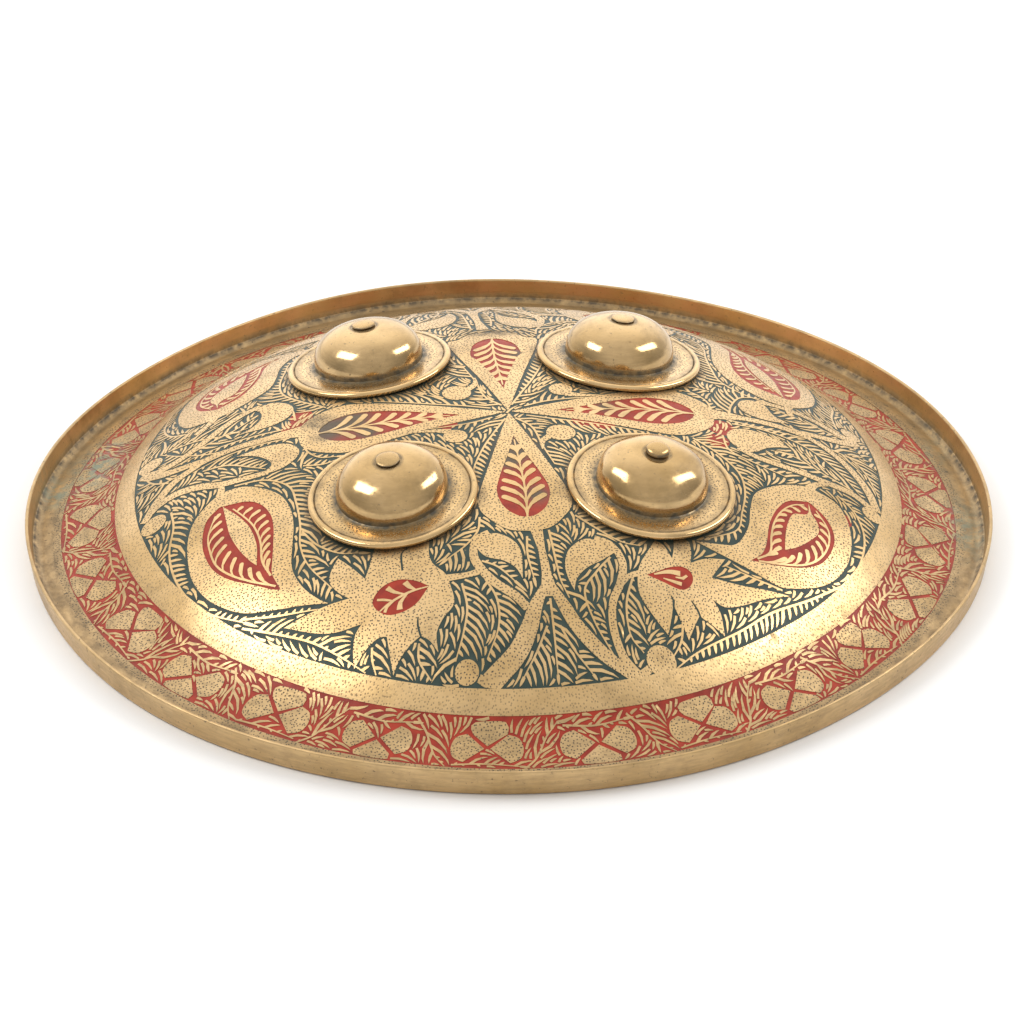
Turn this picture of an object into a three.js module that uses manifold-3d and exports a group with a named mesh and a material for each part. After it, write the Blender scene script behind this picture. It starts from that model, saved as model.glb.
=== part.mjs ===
// A dhal: a round brass shield with a low dome, a turned-up rim, four riveted bosses and cut ornament.
// Millimetres, +Z up. The shield lies on its rim, face up, with the origin under the middle of the dome.
// +X and +Y run along two of the four long petals of the ornament.

import * as THREE from 'three';
import { mergeVertices } from 'three/addons/utils/BufferGeometryUtils.js';
import Module from 'manifold-3d';

// Sheet: a dome that is flattest on top, with a skirt round it
const SHEET = 1.6;
const DOME_TOP = 56.9;
const DOME_EDGE = 154.3;
const DOME_DROP = 36.4;
const SKIRT_END = new THREE.Vector2(193.5, 1.8);
const SKIRT_END_SLOPE = 0.2;
const SKIRT_HANDLES = [10.4, 31];
const DOME_STEPS = 8;
const DOME_SPACING = 0.75;
const SKIRT_STEPS = 5;
const TURNS = 48;
// The facets are turned a little, so that no seam of theirs runs along a petal.
const FACET_TURN = 0.05;

// Rim
const RIM_RADIUS = 199.2;
const RIM_TOP = 11.5;
const RIM_WALL = 1.5;
const RIM_LEAN = 1.4;
const CANT_RISE = 1.8;
const FOOT_ROUND = 1.6;
// The rim is hand beaten and out of round: waves round the edge, as the number of waves and two sizes.
const RIM_WAVES = [[2, 0.32, 1.35], [3, 0.55, -0.11], [4, 0.85, 0.06], [5, -0.12, 0.45], [6, -0.26, -0.49]];

// Ornament: the grounds are cut down and the motifs stand at the level of the sheet.
const CUT = 0.4;
const BORDER_INNER = 162.6;
const BORDER_OUTER = 185;

const PETAL = { start: 5, end: 85, wide: 66, half: 18.5 };
const PETAL_CELL = { start: 20, end: 77, wide: 62, half: 10.5 };
const BOTEH = { x: 113, y: 62, long: 82, half: 21, lean: 16 };
const BOTEH_CELL = { long: 58, half: 13.5 };
const CURVE_STEPS = 4;

// Bosses: their own turn round the shield and distance from its middle, as they were set by hand.
const BOSSES = [
  { name: 'front_right', turn: -47.6, reach: 77, head: 2.6 },
  { name: 'back_right', turn: 43.1, reach: 70.1, head: 1.2 },
  { name: 'back_left', turn: 133.9, reach: 76.2, head: 1.5 },
  { name: 'front_left', turn: 225.9, reach: 74.8, head: 1.2 },
];
const FLANGE_RADIUS = 34.4;
const FLANGE_TOP = 1.7;
const FLANGE_EDGE = 1.5;
const BOSS_RADIUS = 22.8;
const BOSS_HEIGHT = 17.6;
const BOSS_FULLNESS = 2.5;
const BOSS_SHEET = 1.3;
const SEAT_RADIUS = 470;
const BOSS_STEPS = 5;
const BOSS_TURNS = 20;

// Rivets
const SHANK_RADIUS = 2.2;
const HOLE_RADIUS = 2.6;
const HEAD_RADIUS = 5;
const TAIL_RADIUS = 4.4;
const TAIL_HEIGHT = 1.6;
const TAIL_GAP = 0.5;
const RIVET_TURNS = 10;

// Clear space between pieces that touch
const GAP = 0.3;

const wasm = await Module();
wasm.setup();

const v2 = (x, y) => new THREE.Vector2(x, y);
const brass = (color, roughness) => new THREE.MeshStandardMaterial({ color, roughness, metalness: 1 });

// Solids

function toSolid(geometry) {
  const bare = geometry.clone();
  bare.deleteAttribute('normal');
  bare.deleteAttribute('uv');
  const merged = mergeVertices(bare, 1e-4);
  const vertProperties = new Float32Array(merged.attributes.position.array);
  const triVerts = new Uint32Array(merged.index.array);
  return new wasm.Manifold(new wasm.Mesh({ numProp: 3, vertProperties, triVerts }));
}

function toGeometry(solid) {
  const mesh = solid.getMesh();
  const geometry = new THREE.BufferGeometry();
  geometry.setAttribute('position', new THREE.BufferAttribute(mesh.vertProperties, 3));
  geometry.setIndex(new THREE.BufferAttribute(mesh.triVerts, 1));
  geometry.computeVertexNormals();
  return geometry;
}

// A profile of (radius, height) points turned about the Z axis.
function turned(profile, segments) {
  return new THREE.LatheGeometry(profile, segments).rotateX(Math.PI / 2).rotateZ(FACET_TURN);
}

// Profile of the sheet

// The dome falls half by the square of the radius and half by its fourth power.
const domeHeight = (r) => DOME_TOP - (DOME_DROP / 2) * ((r / DOME_EDGE) ** 2 + (r / DOME_EDGE) ** 4);
const domeSlope = (r) => (DOME_DROP / DOME_EDGE) * (r / DOME_EDGE + 2 * (r / DOME_EDGE) ** 3);

// The skirt leaves the dome on its tangent, falls away and runs out almost flat.
function skirtCurve() {
  const start = v2(DOME_EDGE, domeHeight(DOME_EDGE));
  const leave = v2(1, -domeSlope(DOME_EDGE)).normalize();
  const arrive = v2(-1, SKIRT_END_SLOPE).normalize();
  const first = start.clone().addScaledVector(leave, SKIRT_HANDLES[0]);
  const second = SKIRT_END.clone().addScaledVector(arrive, SKIRT_HANDLES[1]);
  return new THREE.CubicBezierCurve(start, first, second, SKIRT_END);
}

// Points of the face from the middle outwards, each with the direction square to the sheet.
function facePoints() {
  const points = [];
  for (let i = 0; i < DOME_STEPS; i += 1) {
    const r = DOME_EDGE * (i / DOME_STEPS) ** DOME_SPACING;
    points.push({ at: v2(r, domeHeight(r)), normal: v2(domeSlope(r), 1).normalize() });
  }
  const curve = skirtCurve();
  for (let i = 0; i <= SKIRT_STEPS; i += 1) {
    const along = curve.getTangent(i / SKIRT_STEPS);
    points.push({ at: curve.getPoint(i / SKIRT_STEPS), normal: v2(-along.y, along.x) });
  }
  return points;
}

const FACE = facePoints();
const sunk = (point, depth) => point.at.clone().addScaledVector(point.normal, -depth);

// The point of the face at a given radius, between two neighbours.
function faceAt(r) {
  const next = FACE.findIndex((point) => point.at.x >= r);
  const [a, b] = [FACE[next - 1], FACE[next]];
  const t = (r - a.at.x) / (b.at.x - a.at.x);
  return { at: a.at.clone().lerp(b.at, t), normal: a.normal.clone().lerp(b.normal, t).normalize() };
}

// The face with the field and the border cut down between their edges.
function cutFace() {
  const edges = [DOME_EDGE, BORDER_INNER, BORDER_OUTER];
  const depthAt = (r) => (r < DOME_EDGE || (r > BORDER_INNER && r < BORDER_OUTER) ? CUT : 0);
  const profile = [];
  let done = 0;
  for (const point of FACE) {
    while (done < edges.length && edges[done] <= point.at.x) {
      const edge = faceAt(edges[done]);
      const before = depthAt(edges[done] - GAP);
      profile.push(sunk(edge, before), sunk(edge, CUT - before));
      done += 1;
    }
    if (!edges.includes(point.at.x)) {
      profile.push(sunk(point, depthAt(point.at.x)));
    }
  }
  return profile;
}

// The rim: a canted fillet inside, a wall that leans out, and a rounded foot that the shield lies on.
function rimProfile() {
  const wallFoot = RIM_RADIUS - RIM_LEAN - RIM_WALL;
  const cantTop = SKIRT_END.y + CANT_RISE;
  const edge = RIM_WALL / 3;
  return [
    v2(wallFoot, cantTop),
    v2(RIM_RADIUS - RIM_WALL, RIM_TOP - edge),
    v2(RIM_RADIUS - RIM_WALL + edge, RIM_TOP),
    v2(RIM_RADIUS - edge, RIM_TOP),
    v2(RIM_RADIUS, RIM_TOP - edge),
    v2(RIM_RADIUS - RIM_LEAN, FOOT_ROUND),
    v2(RIM_RADIUS - RIM_LEAN - FOOT_ROUND / 2, FOOT_ROUND / 4),
    v2(RIM_RADIUS - RIM_LEAN - FOOT_ROUND, 0),
    v2(SKIRT_END.x, 0),
  ];
}

// How far the beaten edge stands in or out, growing from nothing at the edge of the dome.
function outOfRound(position) {
  for (let i = 0; i < position.count; i += 1) {
    const [x, y] = [position.getX(i), position.getY(i)];
    const r = Math.hypot(x, y);
    if (r > DOME_EDGE) {
      const turn = Math.atan2(y, x);
      const wave = ([n, c, s]) => c * Math.cos(n * turn) + s * Math.sin(n * turn);
      const share = ((r - DOME_EDGE) / (RIM_RADIUS - DOME_EDGE)) ** 2;
      const shift = share * RIM_WAVES.reduce((sum, row) => sum + wave(row), 0);
      position.setXY(i, x * (1 + shift / r), y * (1 + shift / r));
    }
  }
}

function sheetGeometry() {
  const under = FACE.slice(0, -1).reverse().map((point) => sunk(point, SHEET));
  const profile = [...cutFace(), ...rimProfile(), ...under];
  profile[profile.length - 1].x = 0;
  const geometry = turned(profile.reverse(), TURNS);
  outOfRound(geometry.attributes.position);
  return geometry;
}

// Motifs: flat outlines in the plan of the shield

// A drop with its point at the start and its broad, blunt end outwards, along +X.
function dropOutline({ start, end, wide, half }) {
  const shape = new THREE.Shape();
  const belly = wide - start;
  const blunt = end - wide;
  shape.moveTo(start, 0);
  shape.bezierCurveTo(start + belly * 0.3, -half * 0.3, wide - belly * 0.4, -half, wide, -half);
  shape.bezierCurveTo(wide + blunt * 0.7, -half, end, -half * 0.6, end, 0);
  shape.bezierCurveTo(end, half * 0.6, wide + blunt * 0.7, half, wide, half);
  shape.bezierCurveTo(wide - belly * 0.4, half, start + belly * 0.3, half * 0.3, start, 0);
  return shape;
}

// A long petal with its cell cut out.
function petalShape() {
  const shape = dropOutline(PETAL);
  shape.holes.push(dropOutline(PETAL_CELL));
  return shape;
}

// A paisley leaf, broad at the start and drawn out to a bent tip, along +Y about its middle.
function leafOutline(long, half) {
  const shape = new THREE.Shape();
  const [low, high] = [-long * 0.4, long * 0.6];
  shape.moveTo(0, low);
  shape.bezierCurveTo(half * 0.9, low, half * 1.25, -half * 0.1, half * 0.75, long * 0.18);
  shape.bezierCurveTo(half * 0.45, long * 0.34, half * 0.3, long * 0.44, half * 0.6, high);
  shape.bezierCurveTo(-half * 0.4, long * 0.5, -half * 0.95, long * 0.22, -half, long * 0.02);
  shape.bezierCurveTo(-half * 1.05, low * 0.6, -half * 0.7, low, 0, low);
  return shape;
}

function botehShape() {
  const shape = leafOutline(BOTEH.long, BOTEH.half);
  shape.holes.push(leafOutline(BOTEH_CELL.long, BOTEH_CELL.half));
  return shape;
}

// A motif as a tall prism, placed in plan. A mirror image has its faces turned back to point outwards.
function prism(shape, place) {
  const options = { depth: 2 * DOME_TOP, bevelEnabled: false, curveSegments: CURVE_STEPS };
  const geometry = new THREE.ExtrudeGeometry(shape, options).applyMatrix4(place);
  if (place.determinant() < 0) {
    const position = geometry.attributes.position;
    const [second, third] = [new THREE.Vector3(), new THREE.Vector3()];
    for (let i = 0; i < position.count; i += 3) {
      second.fromBufferAttribute(position, i + 1);
      third.fromBufferAttribute(position, i + 2);
      position.setXYZ(i + 1, ...third);
      position.setXYZ(i + 2, ...second);
    }
  }
  return toSolid(geometry);
}

function placing(x, y, degrees) {
  const turn = new THREE.Matrix4().makeRotationZ(THREE.MathUtils.degToRad(degrees));
  return turn.setPosition(x, y, 0);
}

// The side the motif lies on: a mirror image for three of the four quarters.
const mirrored = (sideX, sideY, place) => new THREE.Matrix4().makeScale(sideX, sideY, 1).multiply(place);

// The skin of the dome from the sheet's own level down past the cut ground.
function fieldSkin() {
  const edge = faceAt(DOME_EDGE - 2 * CUT);
  const top = [...FACE.filter((point) => point.at.x < edge.at.x), edge];
  const below = top.map((point) => sunk(point, 2 * CUT)).reverse();
  below[below.length - 1].x = 0;
  return toSolid(turned([...top.map((point) => point.at), ...below].reverse(), TURNS));
}

function motifs() {
  const prisms = [];
  for (const degrees of [0, 90, 180, 270]) {
    prisms.push(prism(petalShape(), placing(0, 0, degrees)));
  }
  const boteh = placing(-BOTEH.x, -BOTEH.y, 180 + BOTEH.lean);
  for (const [sideX, sideY] of [[1, 1], [-1, 1], [1, -1], [-1, -1]]) {
    prisms.push(prism(botehShape(), mirrored(sideX, sideY, boteh)));
  }
  return prisms.reduce((joined, next) => joined.add(next)).intersect(fieldSkin());
}

// Bosses and rivets: turned about their own axis, square to the dome, with height 0 on the dome

// The underside of a flange is dished to sit on the dome.
const seatHeight = (r) => GAP - r ** 2 / (2 * SEAT_RADIUS);

// Steep sides and a broad top, between a bowl and a cylinder.
function bossCurve(radius, foot, height, from) {
  const points = [];
  const last = Math.acos((from / radius) ** (BOSS_FULLNESS / 2));
  for (let i = 0; i <= BOSS_STEPS; i += 1) {
    const angle = (last * i) / BOSS_STEPS;
    const r = radius * Math.cos(angle) ** (2 / BOSS_FULLNESS);
    points.push(v2(r, foot + (height - foot) * Math.sin(angle) ** (2 / BOSS_FULLNESS)));
  }
  return points;
}

function bossGeometry() {
  const inside = BOSS_RADIUS - BOSS_SHEET;
  const outer = bossCurve(BOSS_RADIUS, FLANGE_TOP, BOSS_HEIGHT, HOLE_RADIUS);
  const inner = bossCurve(inside, 0, BOSS_HEIGHT - BOSS_SHEET, HOLE_RADIUS);
  const under = seatHeight(FLANGE_RADIUS);
  const profile = [
    v2(inside, seatHeight(inside)),
    v2(FLANGE_RADIUS - FLANGE_EDGE / 2, under),
    v2(FLANGE_RADIUS, under + FLANGE_EDGE / 2),
    v2(FLANGE_RADIUS, FLANGE_TOP - FLANGE_EDGE),
    v2(FLANGE_RADIUS - FLANGE_EDGE / 3, FLANGE_TOP - FLANGE_EDGE / 3),
    v2(FLANGE_RADIUS - FLANGE_EDGE, FLANGE_TOP),
    ...outer,
    ...inner.reverse(),
  ];
  profile.push(profile[0].clone());
  return turned(profile, BOSS_TURNS);
}

function rivetGeometry(head) {
  const tailTop = -SHEET - TAIL_GAP;
  const headFoot = BOSS_HEIGHT + GAP;
  const profile = [
    v2(0, tailTop - TAIL_HEIGHT),
    v2(TAIL_RADIUS * 0.7, tailTop - TAIL_HEIGHT * 0.85),
    v2(TAIL_RADIUS, tailTop - TAIL_HEIGHT * 0.4),
    v2(TAIL_RADIUS, tailTop),
    v2(SHANK_RADIUS, tailTop),
    v2(SHANK_RADIUS, headFoot),
    v2(HEAD_RADIUS, headFoot),
    v2(HEAD_RADIUS * 0.95, headFoot + head * 0.6),
    v2(HEAD_RADIUS * 0.6, headFoot + head * 0.92),
    v2(0, headFoot + head),
  ];
  return turned(profile, RIVET_TURNS);
}

// A clear cylinder on a boss's axis, long enough to pass through the sheet.
function axisSolid(radius, boss) {
  const cylinder = new THREE.CylinderGeometry(radius, radius, 4 * BOSS_HEIGHT, BOSS_TURNS);
  return toSolid(cylinder.rotateX(Math.PI / 2).applyMatrix4(boss.matrix));
}

// Each boss and its rivet stand in one group, set on the dome and leaning with it.
function bossGroup({ turn, reach }) {
  const group = new THREE.Group();
  const angle = THREE.MathUtils.degToRad(turn);
  const lean = Math.atan(domeSlope(reach));
  group.position.set(reach * Math.cos(angle), reach * Math.sin(angle), domeHeight(reach));
  group.rotation.set(0, lean, angle, 'ZYX');
  group.updateMatrix();
  return group;
}

const dhal = new THREE.Group();
const groups = BOSSES.map(bossGroup);

BOSSES.forEach((boss, index) => {
  const dome = new THREE.Mesh(bossGeometry(), brass(0xc9a25f, 0.28));
  dome.name = `boss_${boss.name}`;
  const rivet = new THREE.Mesh(rivetGeometry(boss.head), brass(0xb08d55, 0.35));
  rivet.name = `rivet_${boss.name}`;
  groups[index].add(dome, rivet);
});

// The motifs stop short of the flanges, so that each boss lies on an even ground.
const underBosses = groups.map((group) => axisSolid(FLANGE_RADIUS + GAP, group));
const raised = underBosses.reduce((rest, cut) => rest.subtract(cut), motifs());
const holes = groups.map((group) => axisSolid(HOLE_RADIUS, group));
const sheet = toSolid(sheetGeometry()).add(raised);
const pierced = holes.reduce((rest, hole) => rest.subtract(hole), sheet);
const shield = new THREE.Mesh(toGeometry(pierced), brass(0xb8935a, 0.38));
shield.name = 'shield';

dhal.add(shield, ...groups);

export default dhal;
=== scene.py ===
"""A dhal: a round brass shield with a low dome, a turned-up rim, four riveted bosses and cut leaf ornament.

The ornament is drawn in plan in millimetres, joined into one triangulation and lifted onto the dome.
The grounds between the leaves are cut down and filled with green and red lacquer.
"""

import math

import bpy
import numpy as np
from mathutils import Matrix, Vector
from mathutils.geometry import delaunay_2d_cdt


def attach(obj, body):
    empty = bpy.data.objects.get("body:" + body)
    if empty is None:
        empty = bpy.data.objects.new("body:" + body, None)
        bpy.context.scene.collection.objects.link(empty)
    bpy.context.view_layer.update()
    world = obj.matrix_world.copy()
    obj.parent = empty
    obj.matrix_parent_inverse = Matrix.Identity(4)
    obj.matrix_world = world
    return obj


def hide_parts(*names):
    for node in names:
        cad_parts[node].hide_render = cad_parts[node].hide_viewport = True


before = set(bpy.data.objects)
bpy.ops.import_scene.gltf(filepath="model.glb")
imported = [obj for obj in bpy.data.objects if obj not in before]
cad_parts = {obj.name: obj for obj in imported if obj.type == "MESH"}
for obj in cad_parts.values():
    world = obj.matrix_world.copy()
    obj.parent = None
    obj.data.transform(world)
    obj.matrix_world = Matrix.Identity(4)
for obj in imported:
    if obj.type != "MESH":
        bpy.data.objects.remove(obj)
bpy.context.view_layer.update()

MM = 0.001
rng = np.random.default_rng(7)

# Sheet, rim and cut grounds, as in the solids
SHEET = 1.6
DOME_TOP = 56.9
DOME_EDGE = 154.3
DOME_DROP = 36.4
SKIRT_END = (193.5, 1.8)
SKIRT_END_SLOPE = 0.2
SKIRT_HANDLES = (10.4, 31.0)
RIM_RADIUS = 199.2
RIM_TOP = 11.5
RIM_WALL = 1.5
RIM_LEAN = 1.4
CANT_RISE = 1.8
FOOT_ROUND = 1.6
RIM_WAVES = ((2, 0.32, 1.35), (3, 0.55, -0.11), (4, 0.85, 0.06), (5, -0.12, 0.45), (6, -0.26, -0.49))
BORDER_INNER = 162.6
BORDER_OUTER = 185.0
SEAM_RADIUS = 188.0
TURNS = 240
CUT = 0.16

# Bosses: turn round the shield in degrees, distance from its middle, height of the rivet head
BOSSES = {
    "front_right": (-47.6, 77.0, 2.6),
    "back_right": (43.1, 70.1, 1.2),
    "back_left": (133.9, 76.2, 1.5),
    "front_left": (225.9, 74.8, 1.2),
}
FLANGE_RADIUS = 34.4
FLANGE_TOP = 1.7
FLANGE_EDGE = 1.5
BOSS_RADIUS = 22.8
BOSS_HEIGHT = 17.6
BOSS_FULLNESS = 2.5
BOSS_SHEET = 1.3
SEAT_RADIUS = 470.0
GAP = 0.3
SHANK_RADIUS = 2.2
HOLE_RADIUS = 2.6
HEAD_RADIUS = 5.0
TAIL_RADIUS = 4.4
TAIL_HEIGHT = 1.6
TAIL_GAP = 0.5

# What a patch of the face is made of, and which drawing lies over which
BRASS, GREEN, RED = range(3)
GROUND, LEAF, MOTIF, CELL, DETAIL, LINE = range(6)

# Leaves: clear ground round motifs, round leaves and along the edge of a ground, and how they grow
MOTIF_CLEAR = 0.85
LEAF_CLEAR = 0.8
BORDER_CLEAR = 0.8
GROUND_EDGE = 0.6
GROW_STEP = 0.3
GROW_START = 0.6
SHORTEST_LEAF = 1.5
GRID_CELL = 0.25
GRID_HALF = 190.0

# Single leaves in what is still bare: width, least length, turns tried, and how many leaves they may follow
FILL_WIDTH = 1.05
FILL_SHORTEST = 3.2
FILL_TURNS = np.array([0, 0.35, -0.35, 0.8, -0.8])
FILL_FOLLOWS = 4000


# Profile of the sheet


def dome_height(r):
    u = np.asarray(r) / DOME_EDGE
    return DOME_TOP - DOME_DROP / 2 * (u**2 + u**4)


def dome_slope(r):
    u = np.asarray(r) / DOME_EDGE
    return DOME_DROP / DOME_EDGE * (u + 2 * u**3)


def skirt_points(count):
    """The skirt leaves the dome on its tangent, falls away and runs out almost flat."""
    start = np.array([DOME_EDGE, float(dome_height(DOME_EDGE))])
    end = np.array(SKIRT_END)
    leave = np.array([1.0, -float(dome_slope(DOME_EDGE))])
    arrive = np.array([-1.0, SKIRT_END_SLOPE])
    first = start + SKIRT_HANDLES[0] * leave / np.linalg.norm(leave)
    second = end + SKIRT_HANDLES[1] * arrive / np.linalg.norm(arrive)
    t = np.linspace(0, 1, count)[:, None]
    return (1 - t) ** 3 * start + 3 * (1 - t) ** 2 * t * first + 3 * (1 - t) * t**2 * second + t**3 * end


SKIRT = skirt_points(80)


def face_height(r):
    r = np.asarray(r, float)
    on_dome = dome_height(np.minimum(r, DOME_EDGE))
    on_skirt = np.interp(r, SKIRT[:, 0], SKIRT[:, 1])
    return np.where(r < DOME_EDGE, on_dome, on_skirt)


def face_slope(r):
    """How steeply the face falls away from the middle."""
    step = 0.2
    return (face_height(r - step) - face_height(r + step)) / (2 * step)


def out_of_round(x, y):
    """The beaten edge stands in and out, growing from nothing at the edge of the dome."""
    r = np.hypot(x, y)
    turn = np.arctan2(y, x)
    shift = sum(c * np.cos(n * turn) + s * np.sin(n * turn) for n, c, s in RIM_WAVES)
    share = np.clip((r - DOME_EDGE) / (RIM_RADIUS - DOME_EDGE), 0, None) ** 2
    scale = 1 + share * shift / np.maximum(r, 1)
    return x * scale, y * scale


# Low beaten waves over the whole face: direction, length and height of each
BEATEN = [(rng.uniform(0, math.tau), rng.uniform(24, 80), rng.uniform(0.03, 0.07)) for _ in range(9)]


def beaten(x, y):
    height = 0
    for turn, length, size in BEATEN:
        along = x * math.cos(turn) + y * math.sin(turn)
        height = height + size * np.sin(along * math.tau / length + 3 * turn)
    return height


# Outlines


def smooth(points, step=1.5):
    """An even line through the points, curved from each to the next."""
    p = np.asarray(points, float)
    if len(p) == 2:
        return p
    padded = np.vstack([2 * p[0] - p[1], p, 2 * p[-1] - p[-2]])
    line = []
    for a, b, c, d in zip(padded, padded[1:], padded[2:], padded[3:]):
        count = max(1, int(np.linalg.norm(c - b) / step))
        for t in np.arange(count) / count:
            square = (2 * a - 5 * b + 4 * c - d) * t**2
            cube = (3 * b - a - 3 * c + d) * t**3
            line.append(0.5 * (2 * b + (c - a) * t + square + cube))
    line.append(p[-1])
    return np.array(line)


def outline(*strokes):
    """A closed outline of curved strokes that meet at sharp corners."""
    return np.vstack([smooth(stroke)[:-1] for stroke in strokes])


def headings(line):
    along = np.gradient(line, axis=0)
    return along / np.maximum(np.linalg.norm(along, axis=1), 1e-9)[:, None]


def ribbon(points, widths):
    """A band along a curved line, with its width given at even steps."""
    line = smooth(points)
    along = headings(line)
    side = np.stack([-along[:, 1], along[:, 0]], 1)
    share = np.linspace(0, 1, len(line))
    half = np.interp(share, np.linspace(0, 1, len(widths)), widths)[:, None] / 2
    return np.vstack([line + side * half, (line - side * half)[::-1]])


def disc(x, y, radius, count=28):
    turn = np.linspace(0, math.tau, count, endpoint=False)
    return np.stack([x + radius * np.cos(turn), y + radius * np.sin(turn)], 1)


def turned(points, degrees):
    a = math.radians(degrees)
    p = np.asarray(points, float)
    return p @ np.array([[math.cos(a), math.sin(a)], [-math.sin(a), math.cos(a)]])


def at_share(line, share):
    """The place a given share of the way along a line."""
    where = share * (len(line) - 1)
    return np.array([np.interp(where, np.arange(len(line)), line[:, k]) for k in (0, 1)])


def comma(root, along, head, size):
    """A leaf that leaves its vein along it, bends away and ends in a round head."""
    root, head = np.asarray(root, float), np.asarray(head, float)
    reach = np.linalg.norm(head - root)
    bend = root + along * reach * 0.5
    t = np.linspace(0, 1, 5)[:, None]
    line = (1 - t) ** 2 * root + 2 * (1 - t) * t * bend + t**2 * head
    ahead = headings(line)
    side = np.stack([-ahead[:, 1], ahead[:, 0]], 1)
    half = size * np.array([0.22, 0.34, 0.5, 0.95, 1.0])[:, None] / 2
    arc = math.atan2(*ahead[-1][::-1]) + np.array([0.9, 0, -0.9])
    cap = head + size / 2 * np.stack([np.cos(arc), np.sin(arc)], 1)
    return np.vstack([line - side * half, cap[::-1], (line + side * half)[::-1]])


def comb(vein, heads, count, lead, size, turn):
    """A vein with a row of commas that lean along it, their heads on another line."""
    vein, heads = smooth(vein, 0.5), smooth(heads, 0.5)
    along = headings(vein)
    for share in np.linspace(0.02, 1 - lead, count):
        direction = at_share(along, share)
        head = at_share(heads, share + lead)
        draw(BRASS, DETAIL, turned(comma(at_share(vein, share), direction, head, size), turn))
    draw(BRASS, DETAIL, turned(ribbon(vein[::3], (0.9, 0.8, 0.6)), turn))


# Ground: which places are still free for leaves


class Ground:
    """A fine grid over the plan that knows where leaves may still grow."""

    def __init__(self):
        self.count = int(2 * GRID_HALF / GRID_CELL)
        self.blocked = np.ones((self.count, self.count), bool)

    def index(self, value):
        return ((np.asarray(value) + GRID_HALF) / GRID_CELL).astype(int)

    def filled(self, polygon):
        """The window of the grid round an outline, and the cells inside it."""
        low = np.maximum(self.index(polygon.min(0)) - 8, 0)
        high = np.minimum(self.index(polygon.max(0)) + 9, self.count)
        p = (polygon + GRID_HALF) / GRID_CELL - low
        size = high - low
        flips = np.zeros((size[1], size[0] + 1), int)
        for (x0, y0), (x1, y1) in zip(p, np.roll(p, -1, 0)):
            if y0 > y1:
                x0, y0, x1, y1 = x1, y1, x0, y0
            rows = np.arange(math.ceil(y0 - 0.5), math.ceil(y1 - 0.5))
            if len(rows):
                cross = x0 + (rows + 0.5 - y0) * (x1 - x0) / (y1 - y0)
                np.add.at(flips, (rows, np.clip(np.ceil(cross - 0.5).astype(int), 0, size[0])), 1)
        inside = np.cumsum(flips, 1)[:, :-1] % 2 == 1
        return (slice(low[1], high[1]), slice(low[0], high[0])), inside

    def grown(self, inside, margin):
        """The cells within a margin of the cells given."""
        reach = int(margin / GRID_CELL)
        spread = inside.copy()
        for dy in range(-reach, reach + 1):
            for dx in range(-reach, reach + 1):
                if 0 < dx * dx + dy * dy <= (margin / GRID_CELL) ** 2:
                    spread |= np.roll(inside, (dy, dx), (0, 1))
        return spread

    def block(self, polygon, margin):
        window, inside = self.filled(polygon)
        self.blocked[window] |= self.grown(inside, margin)

    def free(self, polygon, margin):
        """Opens the inside of an outline, short of its edge by a margin."""
        window, inside = self.filled(polygon)
        self.blocked[window] &= ~(inside & ~self.grown(~inside, margin))

    def is_free(self, x, y):
        i, j = int((y + GRID_HALF) / GRID_CELL), int((x + GRID_HALF) / GRID_CELL)
        return 0 <= i < self.count and 0 <= j < self.count and not self.blocked[i, j]


ground = Ground()
drawing = []


def draw(kind, rank, polygon, stippled=False):
    """Adds an outline to the drawing, its corners running against the clock."""
    x, y = polygon[:, 0], polygon[:, 1]
    if np.sum(x * np.roll(y, -1) - np.roll(x, -1) * y) < 0:
        polygon = polygon[::-1]
    drawing.append((kind, rank, polygon, stippled))


def motif(polygon):
    """A stippled brass shape that stands clear of the leaves round it."""
    draw(BRASS, MOTIF, polygon, stippled=True)
    ground.block(polygon, MOTIF_CLEAR)


# Leaves

LEAF_STATIONS = np.array([0, 0.4, 0.78])
LEAF_WIDTHS = np.array([0.9, 1.0, 0.6])


def leaf_shape(line, width):
    """A sickle leaf along a line, pointed at its end."""
    along = headings(line)
    side = np.stack([-along[:, 1], along[:, 0]], 1)
    at = np.linspace(0, 1, len(line))
    middle = np.stack([np.interp(LEAF_STATIONS, at, line[:, k]) for k in (0, 1)], 1)
    across = np.stack([np.interp(LEAF_STATIONS, at, side[:, k]) for k in (0, 1)], 1)
    half = (LEAF_WIDTHS * width / 2)[:, None]
    return np.vstack([middle - across * half, line[-1:], (middle + across * half)[::-1]])


# Where each leaf lies and which way it points
combing = []


def add_leaf(line, width, clear):
    shape = leaf_shape(line, width)
    draw(BRASS, LEAF, shape)
    ground.block(shape, clear)
    way = line[-1] - line[0]
    combing.append((*line[len(line) // 2], math.atan2(way[1], way[0])))


def grow(root, heading, bend, longest, width, clear):
    """Lengthens a leaf from its root until it meets something, and keeps it if it is long enough."""
    x, y = root
    line = [(x, y)]
    length = 0.0
    half = width * 0.5
    while length < longest:
        x += GROW_STEP * math.cos(heading)
        y += GROW_STEP * math.sin(heading)
        length += GROW_STEP
        heading += bend * GROW_STEP / longest
        taper = half * max(0.2, 1 - length / longest)
        across = (-math.sin(heading) * taper, math.cos(heading) * taper)
        if length > GROW_START:
            if not all(ground.is_free(x + k * across[0], y + k * across[1]) for k in (0, 1, -1)):
                break
        line.append((x, y))
    if length >= SHORTEST_LEAF:
        add_leaf(np.array(line), width * min(1.0, 0.5 + length / 6), clear)


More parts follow.
